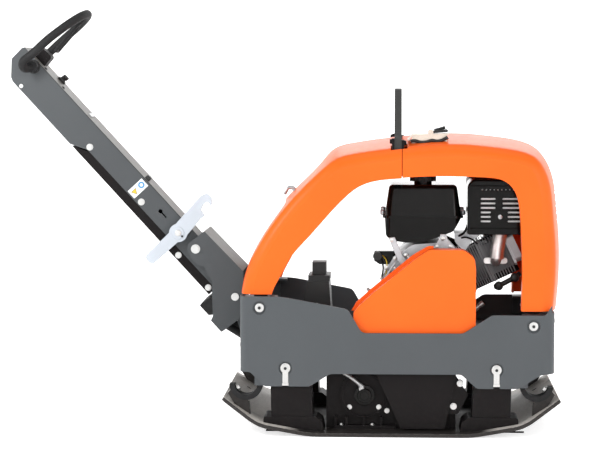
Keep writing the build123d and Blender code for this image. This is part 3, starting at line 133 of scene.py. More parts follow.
# ---- Materials ----
class Surface:
    """A procedural material: short calls that add the nodes of one Principled surface."""

    def __init__(self, name, **fixed):
        self.material = bpy.data.materials.new(name)
        self.material.use_nodes = True
        self.tree = self.material.node_tree
        self.shader = self.tree.nodes["Principled BSDF"]
        self.place = self.tree.nodes.new("ShaderNodeTexCoord").outputs["Object"]
        for socket, value in fixed.items():
            self.shader.inputs[socket.replace("_", " ")].default_value = value

    def link(self, value, socket):
        if isinstance(value, bpy.types.NodeSocket):
            self.tree.links.new(value, socket)
        elif isinstance(value, tuple) and len(value) == 3 and socket.type == "RGBA":
            socket.default_value = (*value, 1)
        else:
            socket.default_value = value

    def stretched(self, stretch):
        mapping = self.tree.nodes.new("ShaderNodeMapping")
        self.link(self.place, mapping.inputs["Vector"])
        mapping.inputs["Scale"].default_value = stretch
        return mapping.outputs["Vector"]

    def noise(self, size, detail=4.0, stretch=None, distortion=0.0):
        """Noise whose blotches are about size metres across."""
        node = self.tree.nodes.new("ShaderNodeTexNoise")
        self.link(self.stretched(stretch) if stretch else self.place, node.inputs["Vector"])
        node.inputs["Scale"].default_value = 1.0 / size
        node.inputs["Detail"].default_value = detail
        node.inputs["Distortion"].default_value = distortion
        return node.outputs["Fac"]

    def cells(self, size):
        node = self.tree.nodes.new("ShaderNodeTexVoronoi")
        self.link(self.place, node.inputs["Vector"])
        node.inputs["Scale"].default_value = 1.0 / size
        return node.outputs["Distance"]

    def fit(self, value, low, high, out_low=0.0, out_high=1.0):
        node = self.tree.nodes.new("ShaderNodeMapRange")
        self.link(value, node.inputs["Value"])
        limits = {"From Min": low, "From Max": high, "To Min": out_low, "To Max": out_high}
        for socket, number in limits.items():
            node.inputs[socket].default_value = number
        return node.outputs["Result"]

    def math(self, operation, first, second=0.0):
        node = self.tree.nodes.new("ShaderNodeMath")
        node.operation = operation
        node.use_clamp = operation in ("ADD", "MULTIPLY")
        self.link(first, node.inputs[0])
        self.link(second, node.inputs[1])
        return node.outputs["Value"]

    def mix(self, share, first, second):
        node = self.tree.nodes.new("ShaderNodeMix")
        node.data_type = "RGBA"
        self.link(share, node.inputs[0])
        self.link(first, node.inputs[6])
        self.link(second, node.inputs[7])
        return node.outputs[2]

    def edges(self, radius):
        """Mask of outer edges and corners, from how far a rounded normal turns away."""
        bevel = self.tree.nodes.new("ShaderNodeBevel")
        bevel.samples = 4
        bevel.inputs["Radius"].default_value = radius
        geometry = self.tree.nodes.new("ShaderNodeNewGeometry")
        dot = self.tree.nodes.new("ShaderNodeVectorMath")
        dot.operation = "DOT_PRODUCT"
        self.link(bevel.outputs["Normal"], dot.inputs[0])
        self.link(geometry.outputs["Normal"], dot.inputs[1])
        return self.fit(dot.outputs["Value"], 0.995, 0.86)

    def facing_up(self, low=0.3, high=1.0):
        geometry = self.tree.nodes.new("ShaderNodeNewGeometry")
        split = self.tree.nodes.new("ShaderNodeSeparateXYZ")
        self.link(geometry.outputs["Normal"], split.inputs["Vector"])
        return self.fit(split.outputs["Z"], low, high)

    def coordinate(self, letter):
        """How far along X, Y or Z a spot is, in the node's own frame."""
        split = self.tree.nodes.new("ShaderNodeSeparateXYZ")
        self.link(self.place, split.inputs["Vector"])
        return split.outputs[letter]

    def bump(self, height, depth, strength=1.0, under=None):
        """Bump of the given depth in metres, over an earlier bump if there is one."""
        node = self.tree.nodes.new("ShaderNodeBump")
        node.inputs["Distance"].default_value = depth
        node.inputs["Strength"].default_value = strength
        self.link(height, node.inputs["Height"])
        if under is not None:
            self.link(under, node.inputs["Normal"])
        return node.outputs["Normal"]

    def finish(self, color, roughness, normal=None, metallic=None):
        self.link(color, self.shader.inputs["Base Color"])
        self.link(roughness, self.shader.inputs["Roughness"])
        if normal is not None:
            self.link(normal, self.shader.inputs["Normal"])
        if metallic is not None:
            self.link(metallic, self.shader.inputs["Metallic"])
        return self.material


def painted(name, color, roughness, coat=0.0, texture=0.0, wear=0.1, soil=0.1, specular=0.4, top=None):
    """Paint or powder coat over steel: slight tone shifts, worn edges, a trace of soil low down, and, where a
    top colour is given, a painted reflection that lightens the faces turned up.
    """
    surface = Surface(name, Coat_Weight=coat, Coat_Roughness=0.05, Specular_IOR_Level=specular)
    broad, fine = surface.noise(0.2), surface.noise(0.012, 6.0)
    darker = tuple(channel * 0.93 for channel in color)
    tone = surface.mix(surface.fit(broad, 0.35, 0.7), darker, color)
    grit = surface.noise(0.004, 8.0)
    worn = surface.math("MULTIPLY", surface.edges(0.0014), surface.fit(grit, 0.5, 0.62, 0.0, wear))
    bare = tuple(min(1.0, 0.25 + channel * 0.6) for channel in color)
    tone = surface.mix(worn, tone, bare)
    low = surface.math("MULTIPLY", surface.fit(surface.coordinate("Z"), 0.16, 0.0, 0.0, soil),
                       surface.fit(fine, 0.42, 0.7))
    tone = surface.mix(low, tone, (0.30, 0.27, 0.23))
    # painted reflection: with a top colour, faces turned up are lightened towards it, standing in for the
    # bright surroundings they reflect
    if top is not None:
        tone = surface.mix(surface.facing_up(), tone, top)
    rough = surface.fit(fine, 0.3, 0.75, roughness * 0.92, roughness * 1.1)
    normal = surface.bump(surface.noise(0.011, 2.0), 0.00004, 0.5)
    if texture:
        normal = surface.bump(surface.noise(0.0016, 3.0), texture, 0.7, normal)
    return surface.finish(tone, rough, normal)


def rubber(name, color, roughness=0.7):
    surface = Surface(name, Specular_IOR_Level=0.25)
    fine = surface.noise(0.006, 8.0)
    bloom = surface.fit(surface.noise(0.05, 5.0), 0.45, 0.8, 0.0, 0.35)
    tone = surface.mix(bloom, color, tuple(channel * 1.8 + 0.006 for channel in color))
    normal = surface.bump(surface.noise(0.0022, 4.0), 0.0002, 0.6)
    return surface.finish(tone, surface.fit(fine, 0.3, 0.7, roughness * 0.88, roughness * 1.1), normal)


def plastic(name, color, roughness, grain=0.0012, specular=0.35):
    surface = Surface(name, Specular_IOR_Level=specular)
    broad, fine = surface.noise(0.07, 4.0), surface.noise(0.006, 7.0)
    tone = surface.mix(surface.fit(broad, 0.35, 0.7), tuple(channel * 0.92 for channel in color), color)
    lifted = surface.math("MULTIPLY", surface.edges(0.001), surface.fit(fine, 0.45, 0.65, 0.0, 0.2))
    tone = surface.mix(lifted, tone, tuple(min(1.0, channel * 1.4 + 0.03) for channel in color))
    normal = surface.bump(surface.cells(grain), 0.0001, 0.5)
    return surface.finish(tone, surface.fit(fine, 0.3, 0.75, roughness * 0.9, roughness * 1.1), normal)


def metal(name, color, roughness, brushed=(1.0, 1.0, 1.0), stain=0.2, pitting=0.00006,
          tint=(0.30, 0.26, 0.22)):
    """Bare metal with fine tool marks and dull stains in broad patches."""
    surface = Surface(name, Metallic=1.0)
    broad, fine = surface.noise(0.06, 6.0), surface.noise(0.003, 5.0, brushed)
    tone = surface.mix(surface.fit(fine, 0.3, 0.7), tuple(channel * 0.85 for channel in color), color)
    tone = surface.mix(surface.fit(broad, 0.5, 0.75, 0.0, stain), tone, tint)
    rough = surface.math("ADD", surface.fit(fine, 0.3, 0.7, roughness * 0.8, roughness * 1.2),
                         surface.fit(broad, 0.5, 0.75, 0.0, stain * 0.4))
    normal = surface.bump(fine, pitting, 0.7)
    return surface.finish(tone, rough, normal)


def cast(name, color, roughness, grain=0.0025, depth=0.0003, metallic=0.6, dirt=0.3, specular=0.4):
    """Cast or rolled metal: pebbled skin, darker patches, brighter edges."""
    surface = Surface(name, Metallic=metallic, Specular_IOR_Level=specular)
    broad, fine = surface.noise(0.08, 6.0), surface.noise(grain, 6.0)
    tone = surface.mix(surface.fit(fine, 0.3, 0.7), tuple(channel * 0.82 for channel in color), color)
    tone = surface.mix(surface.fit(broad, 0.42, 0.75, 0.0, dirt), tone,
                       tuple(channel * 0.5 for channel in color))
    bright = surface.math("MULTIPLY", surface.edges(0.0018), surface.fit(broad, 0.35, 0.6, 0.0, 0.45))
    tone = surface.mix(bright, tone, tuple(min(1.0, channel * 1.6) for channel in color))
    normal = surface.bump(fine, depth, 0.5)
    return surface.finish(tone, surface.fit(broad, 0.3, 0.7, roughness * 0.88, roughness * 1.15), normal)


def worn_plate_with_painted_reflection(name):
    """Base plate: black paint on the sides; what faces up at both ends turns grey-beige, partly worn to bare
    steel and partly a painted reflection of the bright surroundings.
    """
    surface = Surface(name, Specular_IOR_Level=0.25)
    broad, fine = surface.noise(0.11, 7.0, distortion=0.8), surface.noise(0.006, 7.0)
    along = surface.coordinate("X")
    ends = surface.fit(surface.math("ABSOLUTE", along), 0.24, 0.28)
    # mask of the ends' upward faces: part wear to bare steel, part painted reflection
    upward = surface.math("MULTIPLY", surface.facing_up(0.1, 0.5), ends)
    rubbed_and_painted_reflection = surface.math("MULTIPLY", upward, surface.fit(broad, 0.26, 0.42, 0.35, 1.0))
    black = surface.mix(surface.fit(fine, 0.3, 0.7), (0.016, 0.014, 0.013), (0.028, 0.024, 0.022))
    # bare: the grey-beige of the ends, bare steel lightened further as a painted reflection
    bare = surface.mix(surface.fit(fine, 0.3, 0.7), (0.46, 0.43, 0.40), (0.62, 0.58, 0.54))
    tone = surface.mix(rubbed_and_painted_reflection, black, bare)
    bright = surface.math("MULTIPLY", surface.edges(0.002), surface.fit(fine, 0.45, 0.62, 0.0, 0.4))
    tone = surface.mix(bright, tone, (0.34, 0.32, 0.29))
    normal = surface.bump(fine, 0.0003, 0.5)
    return surface.finish(tone, surface.fit(broad, 0.3, 0.7, 0.42, 0.58), normal)


def braided(name):
    """Braided steel sleeve of the hose."""
    surface = Surface(name, Metallic=0.8)
    weave = surface.cells(0.0016)
    tone = surface.mix(surface.fit(weave, 0.1, 0.6), (0.62, 0.62, 0.61), (0.30, 0.30, 0.30))
    return surface.finish(tone, 0.38, surface.bump(weave, 0.0004, 0.8))


def make_materials():
    # paint over steel plate shares one fine orange-peel texture and one amount of edge wear
    plate = {"texture": 0.00006, "wear": 0.12}
    return {
        "hood_paint": painted("hood_paint", (0.90, 0.128, 0.014), 0.34, wear=0.03, soil=0.0, specular=0.12),
        "frame_paint": painted("frame_paint", (0.066, 0.073, 0.079), 0.48, specular=0.3, **plate),
        # the bar's top colour is a painted reflection: its faces turned up are lightened to a beige grey
        "bar_paint": painted("bar_paint", (0.055, 0.060, 0.064), 0.50, specular=0.3, top=(0.21, 0.20, 0.18),
                             **plate),
        "dark_paint": painted("dark_paint", (0.0085, 0.0070, 0.0072), 0.5, soil=0.015, specular=0.1, **plate),
        "black_paint": painted("black_paint", (0.0035, 0.0032, 0.0028), 0.12, wear=0.04, soil=0.0,
                               specular=0.16),
        "base_steel": worn_plate_with_painted_reflection("base_steel"),
        "rubber_black": rubber("rubber_black", (0.010, 0.010, 0.0105)),
        "zinc": metal("zinc", (0.62, 0.62, 0.61), 0.38, stain=0.15),
        "cast_aluminium": cast("cast_aluminium", (0.56, 0.57, 0.59), 0.40, grain=0.0016, metallic=0.85),
        "bright_steel": metal("bright_steel", (0.88, 0.85, 0.84), 0.42, pitting=0.00002,
                              tint=(0.42, 0.26, 0.2)),
        "steel": metal("steel", (0.42, 0.42, 0.43), 0.34, (1.0, 6.0, 1.0)),
        "black_plastic": plastic("black_plastic", (0.016, 0.016, 0.016), 0.42),
        "latch_plastic": plastic("latch_plastic", (0.46, 0.50, 0.55), 0.4),
        "beige_zinc": metal("beige_zinc", (0.66, 0.56, 0.48), 0.35, stain=0.15),
        "fin_metal": cast("fin_metal", (0.19, 0.19, 0.195), 0.45, grain=0.0016, metallic=0.3, dirt=0.4,
                          specular=0.25),
        "lifting_paint": painted("lifting_paint", (0.044, 0.044, 0.042), 0.5, specular=0.2, **plate),
        # white of the sheet of painted light behind the muffler guard's slots
        "painted_light_white": painted("painted_light_white", (0.85, 0.85, 0.85), 0.4, wear=0.0, soil=0.0),
        "braided": braided("braided"),
        "label_white": plastic("label_white", (0.78, 0.79, 0.80), 0.35),
        "label_blue": plastic("label_blue", (0.05, 0.24, 0.50), 0.35),
        "label_yellow": plastic("label_yellow", (0.62, 0.45, 0.04), 0.4),
    }


def dress_nodes(materials):
    """Give each CAD node the material of its slot in the record, or a closer one of its own."""
    own = {"cylinder": "fin_metal", "cylinder_head": "fin_metal", "hydraulic_hose": "braided",
           "lifting_frame": "lifting_paint", "control_hub": "dark_paint"}
    for entry in frame["record"]["subparts"]:
        node = frame["nodes"][entry["node"]]
        node.data.materials.clear()
        node.data.materials.append(materials[own.get(entry["node"], entry["material_slot"])])


# ---- New pieces ----
class Piece:
    """One new mesh, built up from turned, swept and cut-out shapes given in millimetres."""

    def __init__(self, name, material, body, slot):
        self.name, self.material, self.body, self.slot = name, material, body, slot
        self.builder = bmesh.new()

    def ring_faces(self, rings, closed):
        """Skin a list of vertex rings, and cap both ends unless the rings close on themselves."""
        count = len(rings[0])
        pairs = list(zip(rings, rings[1:] + ([rings[0]] if closed else [])))
        for low, high in pairs:
            for n in range(count):
                self.builder.faces.new((low[n], low[(n + 1) % count], high[(n + 1) % count], high[n]))
        if not closed:
            self.builder.faces.new(list(reversed(rings[0])))
            self.builder.faces.new(rings[-1])

    def turned(self, place, axis, profile, sides=24):
        """Solid of revolution; profile is (distance along the axis, radius) pairs."""
        axis = Vector(axis).normalized()
        across = axis.orthogonal().normalized()
        other = axis.cross(across)
        rings = []
        for along, radius in profile:
            centre = Vector(place) + axis * along
            ring = []
            for n in range(sides):
                angle = 2 * math.pi * n / sides
                spot = centre + (across * math.cos(angle) + other * math.sin(angle)) * radius
                ring.append(self.builder.verts.new(spot * MM))
            rings.append(ring)
        self.ring_faces(rings, False)

    def tube(self, points, radius, sides=12, steps=6):
        """Round bar along a smooth line through the points."""
        line = smooth_line([Vector(point) for point in points], steps)
        rings, across = [], None
        for index, spot in enumerate(line):
            ahead = line[min(index + 1, len(line) - 1)] - line[max(index - 1, 0)]
            ahead.normalize()
            across = ahead.orthogonal() if across is None else across - ahead * across.dot(ahead)
            across.normalize()
            other = ahead.cross(across)
            ring = []
            for n in range(sides):
                angle = 2 * math.pi * n / sides
                edge = spot + (across * math.cos(angle) + other * math.sin(angle)) * radius
                ring.append(self.builder.verts.new(edge * MM))
            rings.append(ring)
        self.ring_faces(rings, False)

    def plate(self, outline, y_low, y_high):
        """Flat plate with its outline in the side view."""
        self.cut_out([(x, y_low, z) for x, z in outline], (0, y_high - y_low, 0))

    def cut_out(self, corners, thickness):
        """Flat plate through the corners, thick along one direction."""
        low = [self.builder.verts.new(Vector(corner) * MM) for corner in corners]
        high = [self.builder.verts.new((Vector(corner) + Vector(thickness)) * MM) for corner in corners]
        self.ring_faces([low, high], False)

    def screw(self, place, axis, radius, height=None):
        """Flanged hexagon head with a turned washer face."""
        height = height or radius * 0.7
        flange = radius * 1.3
        self.turned(place, axis, [(0, flange), (height * 0.22, flange), (height * 0.3, radius * 1.15)])
        self.turned(place, axis, [(height * 0.25, radius), (height * 0.9, radius), (height, radius * 0.86)],
                    6)

    def finish(self, bevel=0.0):
        bmesh.ops.recalc_face_normals(self.builder, faces=self.builder.faces)
        mesh = bpy.data.meshes.new(self.name)
        self.builder.to_mesh(mesh)
        self.builder.free()
        for polygon in mesh.polygons:
            polygon.use_smooth = True
        mesh.set_sharp_from_angle(angle=SHARP_ANGLE)
        mesh.materials.append(self.material)
        piece = bpy.data.objects.new(self.name, mesh)
        bpy.context.scene.collection.objects.link(piece)
        if bevel:
            rounding = piece.modifiers.new("bevel", "BEVEL")
            rounding.width, rounding.segments, rounding.limit_method = bevel * MM, 2, "ANGLE"
        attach(piece, self.body)
        return piece


def smooth_line(points, steps):
    """Curve through the points, with steps spots between each two."""
    line = []
    for index in range(len(points) - 1):
        before = points[max(index - 1, 0)]
        start, end = points[index], points[index + 1]
        after = points[min(index + 2, len(points) - 1)]
        for step in range(steps):
            t = step / steps
            linear = (end - before) * t
            square = (2 * before - 5 * start + 4 * end - after) * t ** 2
            cube = (3 * start - before - 3 * end + after) * t ** 3
            line.append(0.5 * ((2 * start) + linear + square + cube))
    line.append(points[-1])
    return line


def near_face(node):
    """The y of a node's outermost spot on the near side, in millimetres."""
    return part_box(node)[0].y / MM


def joint_place(name):
    """Where a joint of the record sits, in millimetres."""
    joint = next(entry for entry in frame["record"]["behaviour"]["joints"] if entry["name"] == name)
    return Vector(joint["pos_m"]) / MM


# The bar's own directions: along it from the pivot, and across it towards its upper side
BAR_PIVOT = joint_place("drawbar_hinge")
BAR_TURN = math.radians(132.6)              # from forward, up and over to the rear
BAR_SIDE, BAR_TOP = 62.0, 33.6              # half its width, and its upper face above the pivot's line
CYLINDER_LEAN = math.radians(25)
FRAME_BOLTS = ((-346.8, 337.6), (373.7, 291.7), (-278.3, 177.8), (277.6, 175.8))
BAR_ALONG = Vector((math.cos(BAR_TURN), 0, math.sin(BAR_TURN)))
BAR_ACROSS = Vector((math.sin(BAR_TURN), 0, -math.cos(BAR_TURN)))


def on_bar(along, y, across):
    """A spot given in the bar's own directions."""
    return BAR_PIVOT + BAR_ALONG * along + BAR_ACROSS * across + Vector((0, y, 0))


def bar_label(materials):
    """Plain two-sign sticker on the bar's near side."""
    y, middle, half_along, half_across = -BAR_SIDE, 396.5, 13.5, 26.0
    sheet = Piece("bar_label", materials["label_white"], "drawbar", "latch_plastic")
    sheet.cut_out([on_bar(middle + a * half_along, y, b * half_across)
                   for a, b in ((-1, -1), (1, -1), (1, 1), (-1, 1))], (0, -0.3, 0))
    sheet.finish()
    disc = Piece("bar_label_disc", materials["label_blue"], "drawbar", "latch_plastic")
    disc.turned(on_bar(middle + 0.8, y - 0.3, 13.5), (0, -1, 0), [(0, 9.0), (0.25, 9.0)], 40)
    disc.finish()
    dot = Piece("bar_label_disc_mark", materials["label_white"], "drawbar", "latch_plastic")
    dot.turned(on_bar(middle + 0.8, y - 0.55, 13.5), (0, -1, 0), [(0, 4.6), (0.2, 4.6)], 32)
    dot.finish()
    signs = (("rim", 10.5, 0.3, "black_plastic"), ("face", 8.4, 0.55, "label_yellow"))
    for name, size, lift, material in signs:
        sign = Piece("bar_label_triangle_" + name, materials[material], "drawbar", "latch_plastic")
        corners = [on_bar(middle + size * math.sin(turn), y - lift, -12.5 + size * math.cos(turn))
                   for turn in (math.radians(30), math.radians(150), math.radians(270))]
        sign.cut_out(corners, (0, -0.2, 0))
        sign.finish()


def bar_trim(materials):
    """Cable clip, end plate, screws and edge seams on the bar, and the pivot of the transport latch."""
    top = BAR_TOP
    clip = Piece("bar_cable_clip", materials["black_plastic"], "drawbar", "black_plastic")
    corners = [on_bar(along, -58, across) for along, across in
               ((391, top), (391, top + 9), (394, top + 12), (403, top + 12), (406, top + 9), (406, top))]
    clip.cut_out(corners, (0, 24, 0))
    clip.finish(1.0)
    eye = Piece("bar_cable_clip_screw", materials["zinc"], "drawbar", "zinc")
    eye.screw(on_bar(398.5, -46, top + 12), BAR_ACROSS, 4)
    eye.finish()
    plate = Piece("bar_top_plate", materials["steel"], "drawbar", "bar_paint")
    plate.cut_out([on_bar(along, y, top) for along, y in ((628, -30), (640, -30), (640, 30), (628, 30))],
                  BAR_ACROSS * 3)
    plate.finish(0.5)
    seam = Piece("bar_seam", materials["black_plastic"], "drawbar", "bar_paint")
    for y in (-62.4, 61.9):
        corners = [on_bar(along, y, across) for along, across in
                   ((214, top - 2.4), (840, top - 2.4), (840, top - 1.0), (214, top - 1.0))]
        seam.cut_out(corners, (0, 0.5, 0))
    seam.finish()
    screws = Piece("bar_screws", materials["black_plastic"], "drawbar", "zinc")
    for along in (808, 738):
        screws.screw(on_bar(along, -44, top), BAR_ACROSS, 4.2, 3.5)
    screws.finish()
    hub = joint_place("transport_latch_swing")
    cap = Piece("latch_pivot", materials["latch_plastic"], "transport_latch", "latch_plastic")
    cap.turned((hub.x, -84, hub.z), (0, -1, 0), [(0, 17), (1.2, 17), (2.4, 15.5)], 40)
    cap.finish()
    bolt = Piece("latch_pivot_bolt", materials["zinc"], "transport_latch", "zinc")
    bolt.turned((hub.x, -86.4, hub.z), (0, -1, 0), [(0, 8.5), (1.6, 8.5), (2.6, 7.2)], 32)
    bolt.turned((hub.x, -89, hub.z), (0, -1, 0), [(-0.4, 4.2), (0.1, 4.2)], 6)
    bolt.finish()
    lug = Piece("latch_stop_pin", materials["black_plastic"], "transport_latch", "black_plastic")
    lug.turned((hub.x + 11, -84, hub.z - 9), (0, -1, 0), [(0, 3), (3.4, 3), (4, 2.2)], 20)
    lug.finish()


def bar_head_trim(materials):
    """Lever knob, side covers and hub ridges at the bar's head."""
    knob = Piece("throttle_knob", materials["black_plastic"], "throttle_lever", "black_plastic")
    knob.turned(on_bar(759, 22, 52), BAR_ACROSS, [(-8, 5), (-6, 7), (0, 8), (3, 7), (4, 4)], 28)
    knob.finish()
    cover = Piece("head_cover", materials["black_plastic"], "drawbar", "black_plastic")
    for side in (-1, 1):
        cover.turned(on_bar(833.2, side * BAR_SIDE, 15.4), (0, side, 0), [(0, 19), (0.25, 19)], 40)
    cover.finish()
    ridges = Piece("hub_ridges", materials["dark_paint"], "drawbar", "black_plastic")
    for across in (42, 50, 58):
        for side in (-1, 1):
            corners = [on_bar(along, side * 25, across + shift) for along, shift in
                       ((824, 0), (859, 0), (859, 3), (824, 3))]
            ridges.cut_out(corners, (0, side * 1.2, 0))
    ridges.finish(0.4)


def hood_trim(materials):
    """Grip and knob of the hood latch, the dark joint between the hoods, and bolts at the panels' edges."""
    pin = joint_place("hood_latch_hinge")
    grip = Piece("latch_grip", materials["black_plastic"], "front_hood", "black_plastic")
    wave = ((50, -25), (62, -24), (76, -28), (92, -27), (106, -23), (120, -25), (134, -22), (148, -14))
    grip.tube([(x, pin.y - 37, pin.z + lift) for x, lift in wave], 4.6, 14, 6)
    grip.finish()
    knob = Piece("latch_knob", materials["black_plastic"], "hood_latch", "black_plastic")
    knob.turned((pin.x + 12, pin.y, pin.z + 2), (0.35, 0, 1), [(0, 5), (3, 4.2), (5, 4.2)], 20)
    knob.tube([pin + Vector(step) for step in ((9, 0, 3), (22, 0, 6), (38, 0, 11))], 4.2, 14, 6)
    knob.finish()
    seal = Piece("hood_joint_seal", materials["rubber_black"], "frame", "rubber_black")
    curve = ((247, 684), (251, 705), (249, 725), (240, 741), (226, 749))
    for side in (-1, 1):
        seal.tube([(28, side * out, z) for out, z in curve], 2.6, 10, 6)
    seal.finish()
    bolts = Piece("hood_edge_bolts", materials["zinc"], "frame", "zinc")
    for side in (-1, 1):
        for y in (120, 170, 205):
            bolts.screw((430, side * y, 300), (1, 0, 0), 5.5)
            bolts.screw((-399, side * y, 232), (-1, 0, 0), 6)
    bolts.finish()


def engine_trim(materials):
    """Brackets, ribs, bolts, leads, sleeve, pipe and hose round the engine, and a dark sheet of painted shade
    behind the cylinder's fins.
    """
    case_y = near_face("crankcase")
    brackets = Piece("tank_brackets", materials["cast_aluminium"], "frame", "cast_aluminium")
    for outline in (((-8, 514), (9, 516), (30, 466), (52, 440), (58, 424), (40, 424), (20, 446)),
                    ((112, 484), (128, 512), (131, 524), (146, 524), (150, 512), (168, 484))):
        brackets.plate(outline, case_y - 9, case_y - 3)
    brackets.finish(1.2)
    ribs = Piece("crankcase_ribs", materials["cast_aluminium"], "frame", "cast_aluminium")
    for x_low, z_low, x_high, z_high in ((-20, 400, 10, 448), (-6, 384, 24, 432), (10, 372, 40, 420),
                                         (-22, 350, 6, 376)):
        half = Vector((x_high - x_low, 0, z_high - z_low)).normalized() * 2.6
        ribs.cut_out([(x_low + half.z, case_y, z_low - half.x), (x_high + half.z, case_y, z_high - half.x),
                      (x_high - half.z, case_y, z_high + half.x), (x_low - half.z, case_y, z_low + half.x)],
                     (0, -8, 0))
    ribs.turned((2, case_y, 404), (0, -1, 0), [(0, 14), (5, 13), (7, 9), (12, 9), (13, 7)], 28)
    ribs.finish(0.8)
    bolts = Piece("engine_bolts", materials["zinc"], "frame", "zinc")
    for x, z in ((-14, 432), (10, 458), (38, 466), (-12, 372), (-12, 330)):
        bolts.screw((x, case_y - 0.5, z), (0, -1, 0), 4.6)
    for x, z in ((0, 508), (46, 430), (138, 512), (122, 490), (158, 490)):
        bolts.screw((x, case_y - 9, z), (0, -1, 0), 4.6)
    bolts.finish()
    tank_low, tank_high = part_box("fuel_tank")
    lugs = Piece("tank_lugs", materials["cast_aluminium"], "frame", "cast_aluminium")
    for x in (tank_low.x / MM, tank_high.x / MM):
        for y in (-70, 70):
            lugs.turned((x, y, 579), (0, 0, 1), [(-8, 4), (-6, 7), (4, 7), (6, 4)], 20)
    lugs.finish()
    wires = Piece("switch_wires", materials["label_yellow"], "frame", "black_plastic")
    wires.tube([(-24, -96, 462), (-14, -124, 452), (-12, -126, 430), (-16, -126, 404), (-10, -124, 380),
                (8, -123, 352)], 1.6, 10, 8)
    wires.finish()
    lead = Piece("switch_lead", materials["rubber_black"], "frame", "rubber_black")
    lead.tube([(-26, -94, 452), (-22, -126, 430), (-26, -128, 400), (-20, -127, 366), (-4, -123, 338)],
              2.2, 10, 8)
    lead.tube([(180, -60, 512), (196, -82, 524), (206, -86, 546), (212, -80, 566)], 3.2, 12, 8)
    lead.tube([(186, -52, 506), (200, -88, 512), (218, -92, 506), (232, -84, 494)], 2.4, 12, 8)
    lead.finish()
    sleeve = Piece("exhaust_sleeve", materials["bright_steel"], "frame", "bright_steel")
    sleeve.tube([(284, -98, 456), (286, -98, 480), (290, -98, 505), (293, -98, 528)], 18.5, 28, 6)
    sleeve.finish()
    # painted shade: a dark sheet behind the cylinder's fins keeps the gaps between them dark
    shade_sheet = Piece("cylinder_painted_shade_sheet", materials["dark_paint"], "frame", "dark_paint")
    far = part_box("cylinder")[1].y / MM
    crank = joint_place("crankshaft_spin")
    lean_x, lean_z = math.cos(CYLINDER_LEAN), math.sin(CYLINDER_LEAN)
    corners = []
    for along, across in ((97, -73), (232, -73), (232, 50), (97, 50)):
        corners.append((crank.x + along * lean_x - across * lean_z,
                        crank.z + along * lean_z + across * lean_x))
    shade_sheet.plate(corners, far + 0.5, far + 2)
    shade_sheet.finish()
    pipe = Piece("breather_pipe", materials["black_plastic"], "frame", "rubber_black")
    pipe.tube([(280, -70, 376), (292, -74, 380), (312, -74, 390), (336, -72, 403), (348, -66, 412)], 7, 16, 8)
    for x, z in ((291, 379), (334, 402)):
        pipe.turned((x, -86, z), (0, 1, 0), [(0, 7), (2, 10), (6, 12), (16, 12), (20, 10), (23, 7)], 24)
    pipe.finish()
    fitting = Piece("drain_fitting", materials["zinc"], "frame", "zinc")
    fitting.turned((222, -150, 322), (0.78, 0, 0.62),
                   [(0, 6), (2, 8), (10, 8), (11, 6), (20, 6), (21, 7.5), (30, 7.5), (31, 5)], 24)
    fitting.finish()
    drain = Piece("drain_hose", materials["rubber_black"], "frame", "rubber_black")
    drain.tube([(224, -150, 324), (206, -150, 308), (200, -146, 286), (204, -140, 262)], 6.5, 14, 8)
    drain.finish()


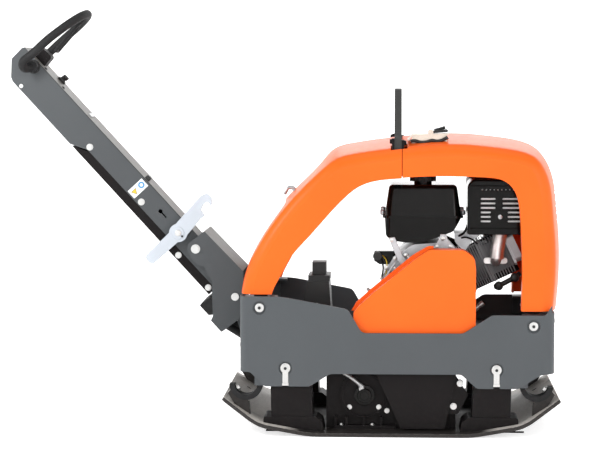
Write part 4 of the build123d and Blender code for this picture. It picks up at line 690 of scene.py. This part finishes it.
def guard_trim(materials):
    """Strip and studs of the belt guard, and the boss bolt and rims of the muffler guard, with a white sheet
    of painted light behind its slots.
    """
    strip = Piece("guard_strip", materials["cast_aluminium"], "frame", "cast_aluminium")
    upper = [(-84, 350), (-45, 384), (-8, 414), (30, 445), (63, 473), (88, 490)]
    lower = [(x + 4, z - 5) for x, z in reversed(upper)]
    strip.plate(upper + lower, -194, -178)
    strip.finish(0.8)
    studs = Piece("guard_studs", materials["zinc"], "frame", "zinc")
    for x, z in ((-58, 375), (-22, 404), (14, 433), (50, 463)):
        studs.turned((x, -186, z), (-0.62, 0, 0.78), [(0, 6), (2.5, 6), (3, 4.5), (9, 4.5), (10, 3.4)], 6)
    studs.finish()
    low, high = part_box("muffler_guard")
    x_low, y, z_low = low.x / MM, low.y / MM, low.z / MM
    x_high, z_high = high.x / MM, high.z / MM
    # painted light: a white sheet behind the guard's slots stands in for the bright surroundings seen through
    # them
    light_sheet = Piece("muffler_painted_light_sheet", materials["painted_light_white"], "frame", "steel")
    light_sheet.plate([(x_low + 10, z_low + 22), (x_high - 10, z_low + 22), (x_high - 10, z_high - 22),
                 (x_low + 10, z_high - 22)], y + 7.0, y + 8.0)
    light_sheet.finish()
    boss = Piece("muffler_boss_bolt", materials["steel"], "frame", "zinc")
    boss.screw((289.7, y, 571.5), (0, -1, 0), 4.5)
    boss.finish()
    rims = Piece("muffler_guard_rims", materials["black_paint"], "frame", "black_paint")
    for z in (z_low + 17, z_high - 18):
        rims.tube([(x, y - 0.2, z) for x in (x_low + 7, (x_low + x_high) / 2, x_high - 7)], 1.3, 8, 4)
    rims.finish()


def exciter_trim(materials):
    """Round bearing cap on the exciter's near side, with a cast rim round it."""
    x, z = -70.0, 100.0
    face = near_face("exciter_covers")
    cap = Piece("bearing_cap", materials["black_paint"], "base", "dark_paint")
    cap.turned((x, face + 0.5, z), (0, -1, 0),
               [(0, 27), (2, 27), (3, 25.5), (3, 19), (11, 19), (13, 17.5), (13, 12), (11.6, 11)], 48)
    cap.finish()
    rim = Piece("exciter_cover_rim", materials["dark_paint"], "base", "dark_paint")
    turns = [math.radians(degrees) for degrees in range(-150, 211, 15)]
    ring = [(x + 57 * math.cos(turn), face + 0.4, z + 57 * math.sin(turn)) for turn in turns]
    rim.tube(ring, 1.6, 8, 3)
    rim.finish()


def panel_trim(materials):
    """Washers at the side panels' bolts, flat black hexagons of painted shade for their sockets, and weld
    beads on the base.
    """
    washers = Piece("panel_washers", materials["zinc"], "frame", "zinc")
    # painted shade: a flat black hexagon on each bolt head stands in for its dark socket
    socket_shades = Piece("panel_bolt_socket_shades", materials["black_plastic"], "frame", "zinc")
    bolt_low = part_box("frame_bolts")[0].y / MM
    for x, z in FRAME_BOLTS:
        for side in (-1, 1):
            socket_shades.turned((x, side * -bolt_low, z), (0, side, 0), [(-0.8, 4.4), (0.12, 4.4)], 6)
            washers.turned((x, side * (-bolt_low - 7), z), (0, side, 0), [(0, 11), (1.4, 11), (2.0, 10)], 40)
    socket_shades.finish()
    washers.finish()
    beads = Piece("weld_beads", materials["dark_paint"], "base", "dark_paint")
    for side in (-1, 1):
        for x_low, x_high in ((-330, -192), (198, 350)):
            run = (x_high - x_low) / 24
            spots = [(x_low + run * n, side * (267 + 0.8 * (n % 2)), 11.5) for n in range(25)]
            beads.tube(spots, 2.6, 8, 2)
    beads.finish()


make_camera()
make_light()
make_floor()
MATERIALS = make_materials()
dress_nodes(MATERIALS)
bar_label(MATERIALS)
bar_trim(MATERIALS)
bar_head_trim(MATERIALS)
hood_trim(MATERIALS)
engine_trim(MATERIALS)
guard_trim(MATERIALS)
exciter_trim(MATERIALS)
panel_trim(MATERIALS)
